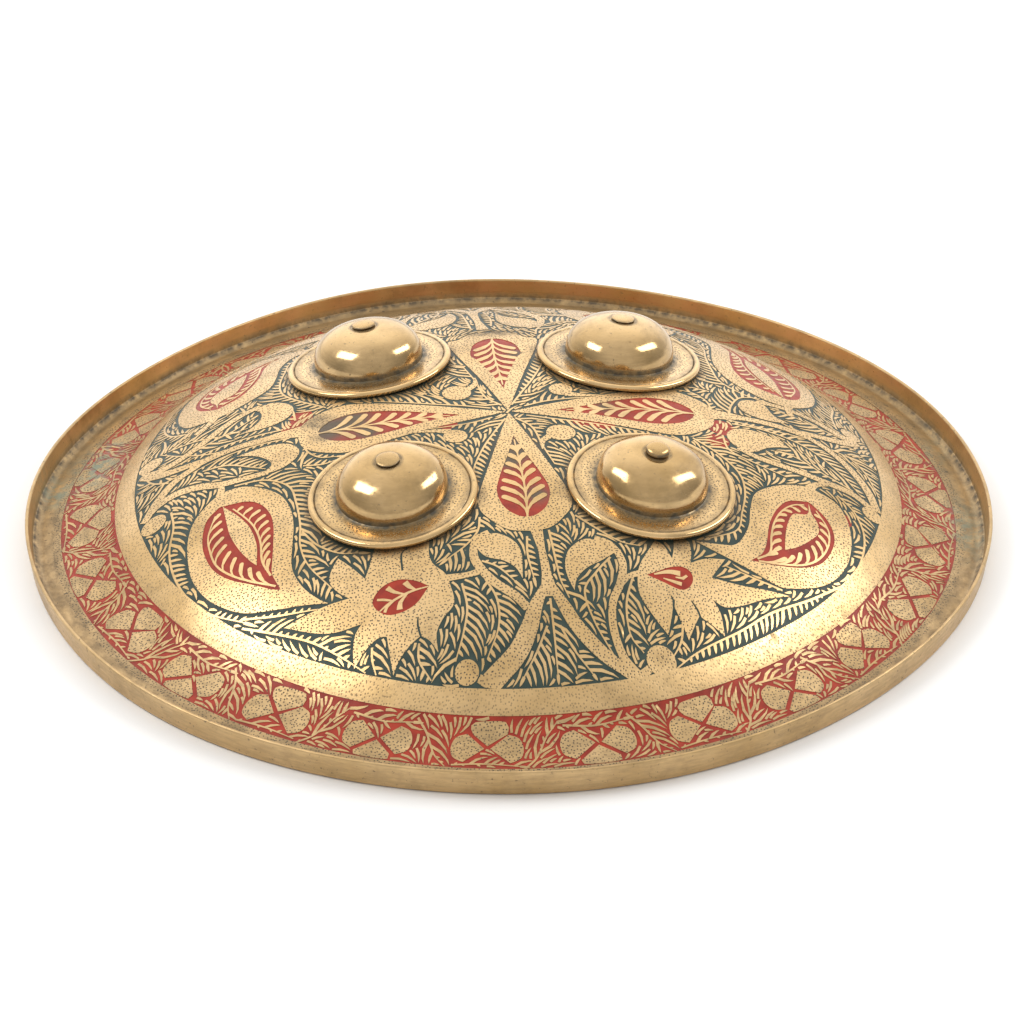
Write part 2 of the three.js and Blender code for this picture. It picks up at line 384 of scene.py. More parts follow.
def fern(points, pitch=3.1, width=1.3, longest=14.0, lean=62, rib=0.9, bend=-50, clear=LEAF_CLEAR):
    """A midrib with pairs of leaves that lean forward along it."""
    line = smooth(points, 0.5)
    along = headings(line)
    steps = np.concatenate([[0], np.cumsum(np.linalg.norm(np.diff(line, axis=0), axis=1))])
    places = np.arange(pitch * 0.5, steps[-1], pitch)
    for place in places:
        root = [np.interp(place, steps, line[:, k]) for k in (0, 1)]
        forward = math.atan2(np.interp(place, steps, along[:, 1]), np.interp(place, steps, along[:, 0]))
        for side in (1, -1):
            heading = forward + side * math.radians(lean + rng.uniform(-5, 5))
            grow(root, heading, side * math.radians(bend), longest, width * rng.uniform(0.9, 1.1), clear)
    grow(line[-1], math.atan2(along[-1, 1], along[-1, 0]), 0, longest / 2, width, clear)
    midrib = ribbon(points, (rib, rib * 0.9, rib * 0.5))
    draw(BRASS, LEAF, midrib)
    ground.block(midrib, clear)


def free_steps(x, y, turn, most=24):
    """How many steps a leaf can run from a place before it meets something."""
    k = 0
    step = (math.cos(turn) * GROW_STEP, math.sin(turn) * GROW_STEP)
    while k < most and ground.is_free(x + (k + 1) * step[0], y + (k + 1) * step[1]):
        k += 1
    return k


def fill_gaps(width, shortest, clear):
    """Combs single leaves into what is still bare, along the leaf that lies nearest."""
    room = ~ground.grown(ground.blocked, width * 0.45)
    for i, j in np.argwhere(room)[::2]:
        x, y = j * GRID_CELL - GRID_HALF, i * GRID_CELL - GRID_HALF
        if not ground.is_free(x, y):
            continue
        near = np.array(combing[-FILL_FOLLOWS:])
        turn = near[np.argmin((near[:, 0] - x) ** 2 + (near[:, 1] - y) ** 2), 2]
        options = turn + FILL_TURNS
        ends = [(free_steps(x, y, way), free_steps(x, y, way + math.pi)) for way in options]
        spans = np.array([sum(end) for end in ends]) * GROW_STEP
        ample = np.flatnonzero(spans >= 2 * shortest)
        best = ample[0] if len(ample) else np.argmax(spans)
        if spans[best] < shortest:
            continue
        ahead, behind = ends[best]
        way = np.array([math.cos(options[best]), math.sin(options[best])]) * GROW_STEP
        tail, tip = np.array([x, y]) - behind * way, np.array([x, y]) + ahead * way
        middle = (tail + tip) / 2 + 0.08 * np.array([-(tip - tail)[1], (tip - tail)[0]])
        add_leaf(smooth([tail, middle, tip], 0.6), width, clear)


# Field: motifs of the lower half in millimetres, drawn again for the upper half, turned half round

PETALS = ((180, 86.5), (0, 85), (270, 84), (90, 78))
PETAL_WIDE, PETAL_HALF = 65.0, 18.5
PETAL_CELL_START, PETAL_CELL_HALF, PETAL_CELL_SHORT = 20.0, 10.6, 8.2
LINE_WIDTHS = (0.5, 0.9, 0.8)

# Combs in the red cells: number of leaves, lead of their heads and size of the heads
PETAL_COMB = (7, 0.19, 2.6)
BOTEH_COMB = (10, 0.1, 1.75)

BOTEHS = (
    {
        "leaf": (
            [(-120, -23.4), (-111, -24.5), (-103, -30.2), (-96.4, -38.2), (-93, -48.4), (-92.4, -58.6),
             (-93.5, -69), (-94.7, -79), (-94, -86), (-90.7, -94), (-85, -101.5), (-81.6, -104.3)],
            [(-81.6, -104.3), (-91.8, -101.3), (-103.2, -98.4), (-114.5, -94), (-123.6, -86), (-130, -76.8),
             (-134, -65.5), (-135, -54), (-134.4, -44), (-131.6, -34.8), (-126, -28), (-120, -23.4)],
        ),
        "cell": (
            [(-120.8, -32.5), (-110, -35.3), (-104.3, -40.5), (-101, -48.4), (-100.3, -56.4), (-101, -65.5),
             (-102, -74.5), (-102.6, -81.4), (-99.8, -90.5)],
            [(-99.8, -90.5), (-103.2, -88.8), (-111, -82.5), (-119, -75.7), (-124.8, -67.7), (-127.6, -59.8),
             (-128.8, -51.8), (-128.2, -44), (-126, -37), (-120.8, -32.5)],
        ),
        "heart": (
            [(-119.4, -33), (-118.6, -43), (-117.6, -52), (-114.6, -62), (-110.6, -70.5), (-108.3, -74)],
            [(-108.3, -74), (-107.6, -63), (-109.6, -52), (-113, -44), (-117, -37), (-119.4, -33)],
        ),
        "combs": (
            ([(-101.6, -88), (-111.4, -80.6), (-119, -73), (-124, -65), (-126, -56), (-126.2, -47),
              (-122.4, -36)],
             [(-104, -82.6), (-109.4, -76.6), (-114.6, -69.4), (-118.4, -61.5), (-120.6, -53), (-121, -44),
              (-121.2, -37)]),
            ([(-103.2, -82), (-106, -73), (-106, -62), (-108, -52), (-111.6, -44), (-116, -36)],
             [(-103.6, -79), (-103.2, -68), (-102.4, -58), (-103.2, -49), (-106.4, -42.6), (-112, -38)]),
        ),
        "stalk": ([(-120, -16), (-119.3, -20), (-120, -25)], (3.0, 2.6, 4.0)),
    },
    {
        "leaf": (
            [(119, -40), (129, -43.9), (132.6, -50.7), (133.4, -58.6), (132.5, -67.7), (129, -79),
             (122.3, -89.3), (114.3, -96), (104, -100.7), (97.3, -101.8), (86, -97.3), (75, -92.4),
             (66, -87.6)],
            [(66, -87.6), (76, -87.4), (83, -85.5), (89, -75), (91.6, -63), (95, -53), (103, -46),
             (112, -41.6), (119, -40)],
        ),
        "cell": (
            [(117, -50), (108.6, -53), (103, -59.8), (98.4, -70), (95.6, -81.4), (92.7, -88), (87.6, -92.7)],
            [(87.6, -92.7), (97.3, -92), (108.6, -89.3), (117.7, -83.6), (123.4, -74.5), (125.7, -65.5),
             (124, -57.5), (119.4, -51.8), (117, -50)],
        ),
        "heart": (
            [(117.2, -51), (115.6, -58), (109.5, -60.5), (106, -68), (104, -76), (103, -82.5)],
            [(103, -82.5), (108, -79.5), (113, -75), (118.6, -68), (119.4, -62), (117.6, -57), (117.2, -51)],
        ),
        "combs": (
            ([(90.6, -91), (96.4, -86), (98.2, -77), (100.6, -68.6), (104.6, -60.8), (110, -55),
              (116, -52.4)],
             [(95, -88.6), (100.4, -83.6), (101.8, -75), (104, -67), (107, -60.6), (112, -57.6),
              (115.4, -55)]),
            ([(91, -92), (100, -90.6), (110, -87.4), (117.6, -81), (122.4, -72), (123.4, -63),
              (119.6, -53.6)],
             [(98, -89.4), (104, -86.2), (110.4, -81.4), (116.4, -75), (119.6, -68), (121, -62),
              (119.4, -57)]),
        ),
        "stalk": ([(127.5, -33.5), (122, -37), (119, -41)], (2.4, 2.6, 4.0)),
    },
)

LILIES = (
    {
        "flower": (
            [(-99.8, -107.8), (-90, -106), (-81.6, -105), (-73.6, -104.9)],
            [(-73.6, -104.9), (-77.5, -101), (-80.5, -95.6), (-79.9, -90.5), (-76.5, -84.2)],
            [(-76.5, -84.2), (-72, -90), (-66.8, -97.8)],
            [(-66.8, -97.8), (-64.5, -92), (-62, -84)],
            [(-62, -84), (-50, -82), (-40, -84)],
            [(-40, -84), (-40.9, -91.6), (-39.5, -97.3), (-35.5, -102.5), (-34, -108.6), (-33.3, -117.2),
             (-38.4, -123.4), (-41.3, -129), (-41.3, -136.5)],
            [(-41.3, -136.5), (-44, -131.4), (-47.5, -128.5)],
            [(-47.5, -128.5), (-52, -131.4), (-56.6, -136), (-59.4, -141)],
            [(-59.4, -141), (-60, -134), (-60.6, -125.7)],
            [(-60.6, -125.7), (-64, -125.4), (-69, -128.5), (-74.2, -134.2)],
            [(-74.2, -134.2), (-74, -127), (-72.5, -121), (-69.7, -117.7)],
            [(-69.7, -117.7), (-80.5, -117.7), (-89.5, -114.3), (-99.8, -107.8)],
        ),
        "lines": (
            [(-48, -86), (-51.5, -89), (-52, -97.8)],
            [(-47.8, -120.4), (-48.2, -124), (-47.5, -128.8)],
        ),
        "heart": (
            [(-42.3, -107.5), (-47, -104), (-54, -101.8), (-61, -104), (-64.9, -110), (-61, -116),
             (-55, -117.2), (-48, -114.5), (-42.3, -107.5)],
        ),
        "sprig": (
            ([(-42.6, -107.6), (-50, -108.6), (-58, -111.6), (-63.2, -115)], (0.5, 1.1, 1.0, 0.5)),
            ([(-47.5, -108.2), (-50, -106), (-51.5, -103.6)], (0.6, 1.6, 2.4)),
            ([(-52, -109.2), (-56, -107.2), (-58.6, -104.6)], (0.6, 1.4, 2.2)),
            ([(-51, -109.2), (-54, -112.4), (-54.6, -115.6)], (0.6, 1.6, 2.4)),
            ([(-56, -110.8), (-59.5, -113.2), (-60.5, -115.4)], (0.6, 1.2, 1.2)),
            ([(-57, -111), (-60.6, -109.6), (-63, -109)], (0.6, 1.2, 1.0)),
        ),
        "stem": ([(-19.6, -103.2), (-27, -104.8), (-36, -105)], (3.2, 2.6, 3.4)),
    },
    {
        "flower": (
            [(101.8, -105), (91.6, -109.8), (81.4, -115.5), (74, -117.9), (69.4, -115.6)],
            [(69.4, -115.6), (71.8, -121), (72.4, -130)],
            [(72.4, -130), (68, -126.6), (63, -123.6)],
            [(63, -123.6), (60.6, -128), (57.6, -134)],
            [(57.6, -134), (55.4, -127), (53, -120)],
            [(53, -120), (51.6, -126), (49.5, -133)],
            [(49.5, -133), (44.6, -126), (40.2, -117), (40.2, -108.6), (42.2, -101.8), (46, -95),
             (49.5, -89)],
            [(49.5, -89), (52.6, -91.5), (55.2, -98)],
            [(55.2, -98), (56.5, -93), (57.2, -87)],
            [(57.2, -87), (60.6, -86.4), (63.4, -88.6)],
            [(63.4, -88.6), (63.4, -94), (62.4, -99.4)],
            [(62.4, -99.4), (69, -96.2), (77, -95)],
            [(77, -95), (73.6, -100), (70.2, -105.4)],
            [(70.2, -105.4), (81.4, -106.4), (92, -105.6), (101.8, -105)],
        ),
        "lines": (
            [(60.5, -117.4), (62.5, -121), (63.4, -124.2)],
            [(52.6, -116.2), (53.4, -118.5), (53, -121)],
        ),
        "heart": (
            [(44, -107.4), (49, -105), (54, -102.6), (58.8, -101.8), (62, -104), (62.4, -108), (60, -112),
             (56.4, -113), (51, -110.6), (44, -107.4)],
        ),
        "sprig": (
            ([(47, -106.8), (53, -105), (57.6, -105.4)], (0.6, 1.8, 2.6)),
            ([(50.5, -108.4), (54.6, -109.6), (57.6, -110.4)], (0.5, 1.4, 1.8)),
            ([(55.5, -107.4), (58.4, -107.6), (60.2, -106)], (0.6, 1.4, 1.0)),
        ),
        "stem": ([(33.4, -112), (37, -108.4), (42, -106.6)], (2.6, 2.2, 3.0)),
    },
)

# Trees: stems as lines with their widths, and the swollen ends of the curled buds as outlines
STEMS = (
    ([(2.6, -82), (3.6, -95), (4.2, -106), (4.4, -118)], (5.2, 2.8, 3.6, 7.0)),
    ([(3.0, -113), (-1.6, -122), (-5.2, -131.5), (-11.2, -141.5), (-22, -150.6)], (3.0, 5.6, 7.2, 8.0, 8.4)),
    ([(5.6, -113), (9.4, -122), (14.2, -132), (22.5, -142), (33.5, -150)], (3.0, 5.2, 5.8, 5.4, 3.6)),
    ([(-4.8, -123), (-9, -117), (-16, -110.4), (-20.5, -104), (-23.4, -96.5), (-22.8, -89)],
     (3.6, 3.8, 3.8, 3.6, 3.0)),
    ([(-22.8, -90), (-21, -86.2), (-16, -84)], (3.0, 3.4, 4.4)),
    ([(36, -149.6), (30.6, -143), (28, -132), (29, -121), (33, -112), (35, -103), (33.4, -95.6)],
     (3.6, 3.2, 3.0, 3.2, 3.0)),
    ([(33.6, -96.6), (30.4, -92), (25, -90)], (3.0, 3.4, 4.4)),
)
BUDS = (
    ([(-22.4, -91), (-20, -86), (-13.4, -84.2), (-6.8, -89.3), (-4.6, -96), (-4.9, -103), (-5.4, -109)],
     [(-5.4, -109), (-7.6, -103.4), (-12, -99.4), (-18.6, -96.6), (-22.4, -91)]),
    ([(33, -96.5), (29, -92.4), (21.7, -89.6), (14.6, -95), (12, -103), (12.6, -110), (14.4, -115.6)],
     [(14.4, -115.6), (16, -110), (20.6, -104.8), (27, -101), (33, -96.5)]),
)
BEADS = ((-31, -145.6, 4.7), (45.6, -143.3, 5.9), (-23.4, -17.2, 4.9), (19.6, -18.6, 6.0))
TAILS = (
    ([(-25, -13.4), (-31, -12), (-40, -11.6)], (4.0, 2.2, 0.8)),
    ([(15, -21), (11.4, -25), (11, -31)], (3.4, 2.4, 0.8)),
    ([(-26.6, -148.4), (-24, -150), (-20, -151)], (3.0, 4.0, 4.0)),
    ([(40.6, -146.6), (37, -149.2), (33, -150)], (3.0, 3.0, 3.0)),
)

# Trees at the two sides, which stand once each: stems, buds, beads and the ferns of their upper branches
SIDE_STEMS = (
    ([(-84, 4.6), (-96, 6), (-112, 6.4), (-131, 5.4)], (9.0, 3.6, 3.8, 5.0)),
    ([(-127, 4.6), (-137.5, 0.5), (-145, -7), (-151, -16)], (3.6, 4.0, 4.4, 3.6)),
    ([(-151.5, -16), (-146, -10.6), (-137.5, -9.2), (-128, -12.4), (-120, -17), (-110, -19.2), (-100, -20)],
     (3.6, 4.2, 4.0, 3.8, 3.4, 3.0)),
    ([(83, 1.4), (96, 2), (110, 2), (126, 0.6)], (9.0, 3.6, 3.6, 4.6)),
    ([(122, 1), (132, -4.6), (140, -13), (145.8, -24), (148.2, -37)], (3.0, 3.6, 4.0, 4.2, 3.6)),
    ([(147, -38), (139, -33), (128, -32.4), (113, -30.6), (100, -28), (92, -23)], (3.6, 3.8, 3.4, 3.2, 3.0)),
    ([(-127, 6.6), (-138, 9.6), (-146, 14.4), (-150.6, 20)], (3.6, 4.0, 4.4, 3.6)),
    ([(-150.6, 21), (-144, 16.4), (-135, 16.6), (-126, 21), (-117, 28), (-108, 33.6), (-100, 36.6)],
     (3.6, 4.2, 4.0, 3.8, 3.4, 3.0)),
    ([(122, 2.4), (133, 5), (142, 9), (148, 15)], (3.0, 3.6, 4.0, 3.6)),
    ([(148, 16), (140, 14.6), (128, 19.4), (116, 21.4), (106, 20.6)], (3.6, 3.8, 3.4, 3.2, 3.0)),
)
SIDE_BUDS = (
    ([(-104, -20.4), (-95, -20), (-88.4, -15), (-86.8, -9), (-90.5, -2.8), (-98, -0.2), (-112, -0.8)],
     [(-112, -0.8), (-104.6, -5), (-99.6, -11), (-98.6, -16), (-104, -20.4)]),
    ([(95, -25.6), (89.6, -20), (88.6, -13.6), (92.6, -8.4), (99.6, -7), (107.4, -9), (114.6, -14.4)],
     [(114.6, -14.4), (109, -16.4), (104, -19.4), (100.4, -23), (95, -25.6)]),
    ([(-103, 35.6), (-95, 36.6), (-88.4, 31), (-86.8, 24.5), (-90.5, 18.6), (-98, 15.9), (-110, 16.6)],
     [(-110, 16.6), (-104, 19.6), (-100.4, 24.6), (-100, 30), (-103, 35.6)]),
    ([(107, 21.4), (100.4, 19.4), (97, 14), (98.6, 8.4), (104, 5.4), (111, 5.2), (118, 7.6)],
     [(118, 7.6), (113, 9.6), (110.6, 13.4), (109.6, 17.6), (107, 21.4)]),
)
SIDE_BEADS = ((-147.4, -21.6, 5.2), (145.4, -41, 4.2), (-146.5, 26, 5.0), (146, 20.5, 4.2))
SIDE_FERNS = (
    [(-92, 10), (-106, 11.4), (-120, 12), (-134, 12.6)],
    [(-130, 17.4), (-121, 19.6), (-112, 22), (-104, 27)],
    [(144, 12), (133, 12.4), (122, 15), (113, 16.4)],
    [(92, 4), (94, 12), (99, 21), (108, 25)],
)

# Midribs of the ferns between the motifs
FERNS = (
    [(-1.8, -5.5), (-7, -15.5), (-13, -27.5), (-18, -41), (-19.4, -52)],
    [(-7, -4), (-16, -7.4), (-27, -9.4), (-36, -10)],
    [(-19, -74), (-20.6, -82), (-26, -89.4), (-34, -95.6)],
    [(-1.4, -87), (-2.2, -97), (-1, -109)],
    [(-20.6, -98.6), (-14.5, -102.4), (-8.6, -110)],
    [(-29.4, -108.6), (-28.4, -120), (-31, -131), (-35, -141)],
    [(-20, -108), (-16.4, -118), (-17, -130), (-22.6, -142)],
    [(-66.6, -128.4), (-67, -133), (-66, -139)],
    [(-48.4, -131.4), (-49, -138), (-45, -146)],
    [(-140, -20), (-139.6, -31), (-142, -44), (-141, -58), (-136.4, -73), (-127.6, -87), (-115, -98)],
    [(-115, -96.6), (-102, -101.6), (-86, -105.4)],
    [(-116, -100), (-103, -109), (-90, -118), (-79, -128), (-70, -137)],
    [(-114, -22), (-101.6, -25), (-92.6, -34), (-90.4, -46), (-89.8, -60), (-90.6, -72), (-88, -84),
     (-80, -98)],
    [(-89.4, -64), (-84, -74), (-76, -81.4), (-68, -84)],
    [(-126, -2), (-116, -5), (-106, -13), (-101, -17)],
    [(-90, 1.6), (-103, 3), (-117, 2.6), (-130, 0.4)],
    [(-84.6, -5), (-83.6, -12), (-79, -18.4), (-72, -20.4)],
    [(-86, -22), (-78, -24), (-70, -22)],
    [(2.2, -5.5), (8.4, -14), (11, -28), (14.6, -42)],
    [(7, -3.8), (18, -7.4), (30, -10.4), (45, -15), (54, -18)],
    [(19, -76), (28, -85), (36, -91), (43, -92.6)],
    [(7.6, -84), (8.4, -98), (9.4, -110), (12, -119)],
    [(30.4, -99.4), (24, -107), (18.4, -116), (21, -130), (28, -145)],
    [(38.4, -108.6), (34.4, -121), (34.4, -134), (39, -141)],
    [(73.6, -20), (83.6, -31), (90, -42), (90.6, -54), (87.6, -67), (84, -78), (72, -85)],
    [(86.6, -15), (88, -26), (97, -32), (110, -37.4)],
    [(139, -30.4), (127, -26.6), (116, -20.6), (106, -20)],
    [(92, -4.4), (106, -4.6), (122, -9.4), (134, -19.6), (142, -31)],
    [(131, -38.6), (137, -45), (139.4, -55), (138, -66), (133.6, -78), (126, -90)],
    [(126, -90), (110, -103.6), (93, -115.4), (79, -126.6), (60, -138.6), (46, -150)],
    [(99, -103.4), (88, -101.4), (77, -98.4)],
    [(140, -2), (147, -10), (150.6, -24)],
    [(56, -127), (54.4, -135), (50, -142)],
    [(4.4, -119), (4.4, -134), (4.2, -150)],
    [(2, -131), (-3, -141), (-9, -150)],
    [(7, -131), (11.6, -141), (18, -150)],
    [(-134, 3.4), (-143, 3.6), (-151, 2)],
)


def petal(turn, end):
    """Straight sides from the middle to the widest place, then a blunt round end."""
    side = [(1.5, 0.25), (PETAL_WIDE * 0.5, PETAL_HALF * 0.52), (PETAL_WIDE - 6, PETAL_HALF * 0.95)]
    blunt = [(PETAL_WIDE + 4, PETAL_HALF), (end - 8, PETAL_HALF * 0.8)]
    blunt += [(end - 1.5, PETAL_HALF * 0.45), (end, 0)]
    upper = smooth(side + blunt)
    lower = (upper * (1, -1))[::-1][1:]
    return turned(np.vstack([upper, lower]), turn)


def petal_cell(turn, end):
    start, half = PETAL_CELL_START, PETAL_CELL_HALF
    upper = smooth([
        (start, 0), (start + 14, half * 0.36), (start + 28, half * 0.78), (end - 17, half),
        (end - 7, half * 0.82), (end - 1.2, half * 0.36), (end, 0),
    ])
    lower = (upper * (1, -1))[::-1][1:-1]
    return turned(np.vstack([upper, lower]), turn)


# Places where the ground is red instead of green: x, y, radius
RED_GROUND = (
    (87, -9, 6), (-87, 9, 6), (84, -20, 5), (30, -8.6, 5), (38, -11, 5),
    (-26, -6.6, 4.5), (-84, 17, 5), (124, -46, 4), (131, -53, 4),
)
# Places where the red has gone dark in the petals: x, y, radius
DARK_CELLS = (
    (-74, 2, 9), (-62, 6, 6), (-58, -6, 5), (1, -28, 9), (-4, -38, 5), (5, -62, 5), (8, 52, 4), (40, 2.6, 4),
)
DARK_STRENGTH = 1.3


def draw_red_ground():
    for x, y, radius in RED_GROUND:
        draw(RED, GROUND, disc(x, y, radius, 14))


def draw_petals():
    for turn, end in PETALS:
        motif(petal(turn, end))
        tip = end - PETAL_CELL_SHORT
        cell = petal_cell(turn, tip)
        draw(RED, CELL, cell)
        rib = [(tip, 0), (tip - 20, 0.8), (PETAL_CELL_START + 3, 0)]
        for side in (1, -1):
            heads = [(tip - 4, 5.2), (tip - 12, 7.8), (tip - 20, 7.6), (tip - 30, 5.4)]
            heads.append((PETAL_CELL_START + 8, 1.6))
            comb(rib, np.array(heads) * (1, side), *PETAL_COMB, turn)


def draw_half(turn):
    """One half of the field: botehs, lilies, trees and beads."""
    for boteh in BOTEHS:
        motif(turned(outline(*boteh["leaf"]), turn))
        points, widths = boteh["stalk"]
        motif(turned(ribbon(points, widths), turn))
        draw(RED, CELL, turned(outline(*boteh["cell"]), turn))
        draw(BRASS, DETAIL, turned(outline(*boteh["heart"]), turn), stippled=True)
        for vein, heads in boteh["combs"]:
            comb(vein, heads, *BOTEH_COMB, turn)
    for lily in LILIES:
        motif(turned(outline(*lily["flower"]), turn))
        points, widths = lily["stem"]
        motif(turned(ribbon(points, widths), turn))
        draw(RED, CELL, turned(outline(*lily["heart"]), turn))
        for points, widths in lily["sprig"]:
            draw(BRASS, DETAIL, turned(ribbon(points, widths), turn))
        for points in lily["lines"]:
            draw(GREEN, LINE, turned(ribbon(points, LINE_WIDTHS), turn))
    for points, widths in STEMS + TAILS:
        motif(turned(ribbon(points, widths), turn))
    for bud in BUDS:
        motif(turned(outline(*bud), turn))
    for x, y, radius in BEADS:
        motif(turned(disc(x, y, radius), turn))


def draw_side_trees():
    for points, widths in SIDE_STEMS:
        motif(ribbon(points, widths))
    for bud in SIDE_BUDS:
        motif(outline(*bud))
    for x, y, radius in SIDE_BEADS:
        motif(disc(x, y, radius))


# Border: trefoils that point in and out by turns, in millimetres along and across the border

SIDE_LOBE = (
    [(-1.2, 0), (-9.3, 6.7)],
    [(-9.3, 6.7), (-13.4, 4.5), (-14.7, 0), (-13, -4.5), (-8.6, -6.1)],
    [(-8.6, -6.1), (-1.2, 0)],
)
OUT_LOBE = (
    [(0, 1.2), (-7.7, 7.6)],
    [(-7.7, 7.6), (-7, 9.4), (0, 9.9), (7, 9.4), (7, 6.9)],
    [(7, 6.9), (0, 1.2)],
)
IN_LOBE = (
    [(0, -1.2), (-6.1, -6)],
    [(-6.1, -6), (-7.2, -8), (-5.5, -10.6), (7.5, -10.8), (8.4, -6.4)],
    [(8.4, -6.4), (0, -1.2)],
)
BORDER_PITCH = 2.9

# Each trefoil's turn round the shield, and whether it points out: the near half, then the far half
TREFOILS = [(176.5 + 14.17 * k, k % 2) for k in range(13)]
TREFOILS += [(346.5 + 13.57 * k, k % 2) for k in range(1, 14)]
TREFOIL_RADIUS = (175.4, 174.8)


def on_border(points, degrees, radius):
    """From places along and across the border to the plan."""
    p = np.asarray(points, float)
    turn = math.radians(degrees) + p[:, 0] / radius
    return np.stack([(radius + p[:, 1]) * np.cos(turn), (radius + p[:, 1]) * np.sin(turn)], 1)


def draw_border():
    for degrees, outward in TREFOILS:
        radius = TREFOIL_RADIUS[outward]
        third = OUT_LOBE if outward else IN_LOBE
        other = [[(-s, t) for s, t in stroke] for stroke in SIDE_LOBE]
        sway = rng.uniform(0.94, 1.06)
        for lobe in (SIDE_LOBE, other, third):
            motif(on_border(outline(*lobe) * (sway, 1), degrees, radius))
    for degrees, outward in TREFOILS:
        radius = TREFOIL_RADIUS[outward]
        across = -8.2 if outward else 8.4
        rib = on_border([(-13, across), (0, across * 0.86), (12.5, across)], degrees, radius)
        fern(rib, pitch=BORDER_PITCH, width=1.2, longest=8, lean=50, rib=0.8, clear=BORDER_CLEAR)
        low = -10 if outward else 10
        slant = [(14, low), (18.5, low * 0.5), (21, 0), (23.5, -low * 0.5), (28, -low)]
        rise = on_border(slant, degrees, radius)
        fern(rise, pitch=BORDER_PITCH, width=1.25, longest=13, lean=44, rib=0.9, clear=BORDER_CLEAR)


def draw_face():
    ring = [disc(0, 0, r, TURNS) for r in (SEAM_RADIUS, BORDER_OUTER, BORDER_INNER, DOME_EDGE)]
    for kind, circle in zip((BRASS, RED, BRASS, GREEN), ring):
        draw(kind, GROUND, circle, stippled=kind == BRASS)
    draw_red_ground()
    ground.free(ring[1], GROUND_EDGE)
    ground.block(ring[2], GROUND_EDGE)
    ground.free(ring[3], GROUND_EDGE)
    for turn, reach, _ in BOSSES.values():
        ground.block(disc(*turned([(reach, 0)], turn)[0], FLANGE_RADIUS - FLANGE_EDGE), 0)
    draw_half(0)
    draw_half(180)
    draw_side_trees()
    draw_petals()
    draw_border()
    for points in SIDE_FERNS:
        fern(points)
    for turn in (0, 180):
        for points in FERNS:
            fern(turned(points, turn))
    fill_gaps(FILL_WIDTH, FILL_SHORTEST, LEAF_CLEAR)


draw_face()


# Mesh of the shield: step of the points between the outlines, and where the beaten waves fade out

POINT_STEP = 5.0
BEATEN_FADE = 12.0


def triangulated():
    """Joins the drawing into one triangulation and says what each triangle is made of."""
    points = []
    faces = []
    for _, _, polygon, _ in drawing:
        faces.append(list(range(len(points), len(points) + len(polygon))))
        points.extend(map(Vector, polygon.tolist()))
    # Points inside broad areas let them follow the dome.
    axis = np.arange(-180, 181, POINT_STEP)
    x, y = np.meshgrid(axis + 1.7, axis + 0.9)
    inside = np.hypot(x, y) < SEAM_RADIUS - 2
    points.extend(map(Vector, zip(x[inside].tolist(), y[inside].tolist())))
    made, _, triangles, _, _, origins = delaunay_2d_cdt(points, [], faces, 1, 1e-4, True)
    # Within one rank the later outline lies on top.
    order = [(rank, k) for k, (_, rank, _, _) in enumerate(drawing)]
    top = [max(origin, key=lambda k: order[k]) for origin in origins]
    kinds = np.array([drawing[k][0] for k in top])
    stippled = np.array([drawing[k][3] for k in top])
    return np.array([v[:] for v in made]), np.array(triangles), kinds, stippled


def lifted(plan, depth):
    """Places the plan on the face, sunk into it by a depth."""
    x, y = plan[:, 0], plan[:, 1]
    r = np.hypot(x, y)
    slope = face_slope(np.maximum(r, 0.5))
    lean = 1 / np.hypot(1, slope)
    out = np.where(r > 0.01, 1 / np.maximum(r, 0.01), 0) * slope * lean
    z = face_height(r) + beaten(x, y) * np.clip((SEAM_RADIUS - r) / BEATEN_FADE, 0, 1) - depth * lean
    x, y = out_of_round(x - x * out * depth, y - y * out * depth)
    return np.stack([x, y, z], 1)


def rim_profile():
    """From the edge of the ornament over the rim and its foot and back under the dome to the middle."""
    flat = SKIRT[SKIRT[:, 0] > SEAM_RADIUS + 0.8]
    foot = RIM_RADIUS - RIM_LEAN
    lip = RIM_WALL / 2
    top = RIM_TOP - lip
    turn = np.linspace(math.pi, 0, 9)
    over = np.stack([RIM_RADIUS - lip + lip * np.cos(turn), top + lip * np.sin(turn)], 1)
    turn = np.linspace(0, -math.pi / 2, 6)
    middle = foot - FOOT_ROUND
    under = np.stack([middle + FOOT_ROUND * np.cos(turn), FOOT_ROUND + FOOT_ROUND * np.sin(turn)], 1)
    cant_top = SKIRT_END[1] + CANT_RISE
    wall = foot - RIM_WALL
    cant = [(SKIRT_END[0] + 0.9, SKIRT_END[1] + 0.3), (wall - 0.7, cant_top - 0.3), (wall, cant_top)]
    step = [(wall + RIM_LEAN * t, cant_top + (top - cant_top) * t) for t in (0.12, 0.4, 0.7)]
    outside = [(RIM_RADIUS - RIM_LEAN * t, top - (top - FOOT_ROUND) * t) for t in (0.3, 0.6, 0.85)]
    under_skirt = np.linspace(SKIRT_END[0] - 3, DOME_EDGE, 7)
    under_dome = np.linspace(DOME_EDGE - 12, 10, 11)
    below_r = np.concatenate([under_skirt, under_dome])
    slope = face_slope(below_r)
    lean = 1 / np.hypot(1, slope)
    below = np.stack([below_r - SHEET * slope * lean, face_height(below_r) - SHEET * lean], 1)
    below[:, 1] = np.maximum(below[:, 1], 0.12)
    return np.vstack([flat, cant, step, over, outside, under, [(SKIRT_END[0], 0)], below])


def ring_faces(first, second, count):
    """Quads between two rings of vertices."""
    k = np.arange(count)
    after = (k + 1) % count
    return np.stack([first + k, second + k, second + after, first + after], 1)


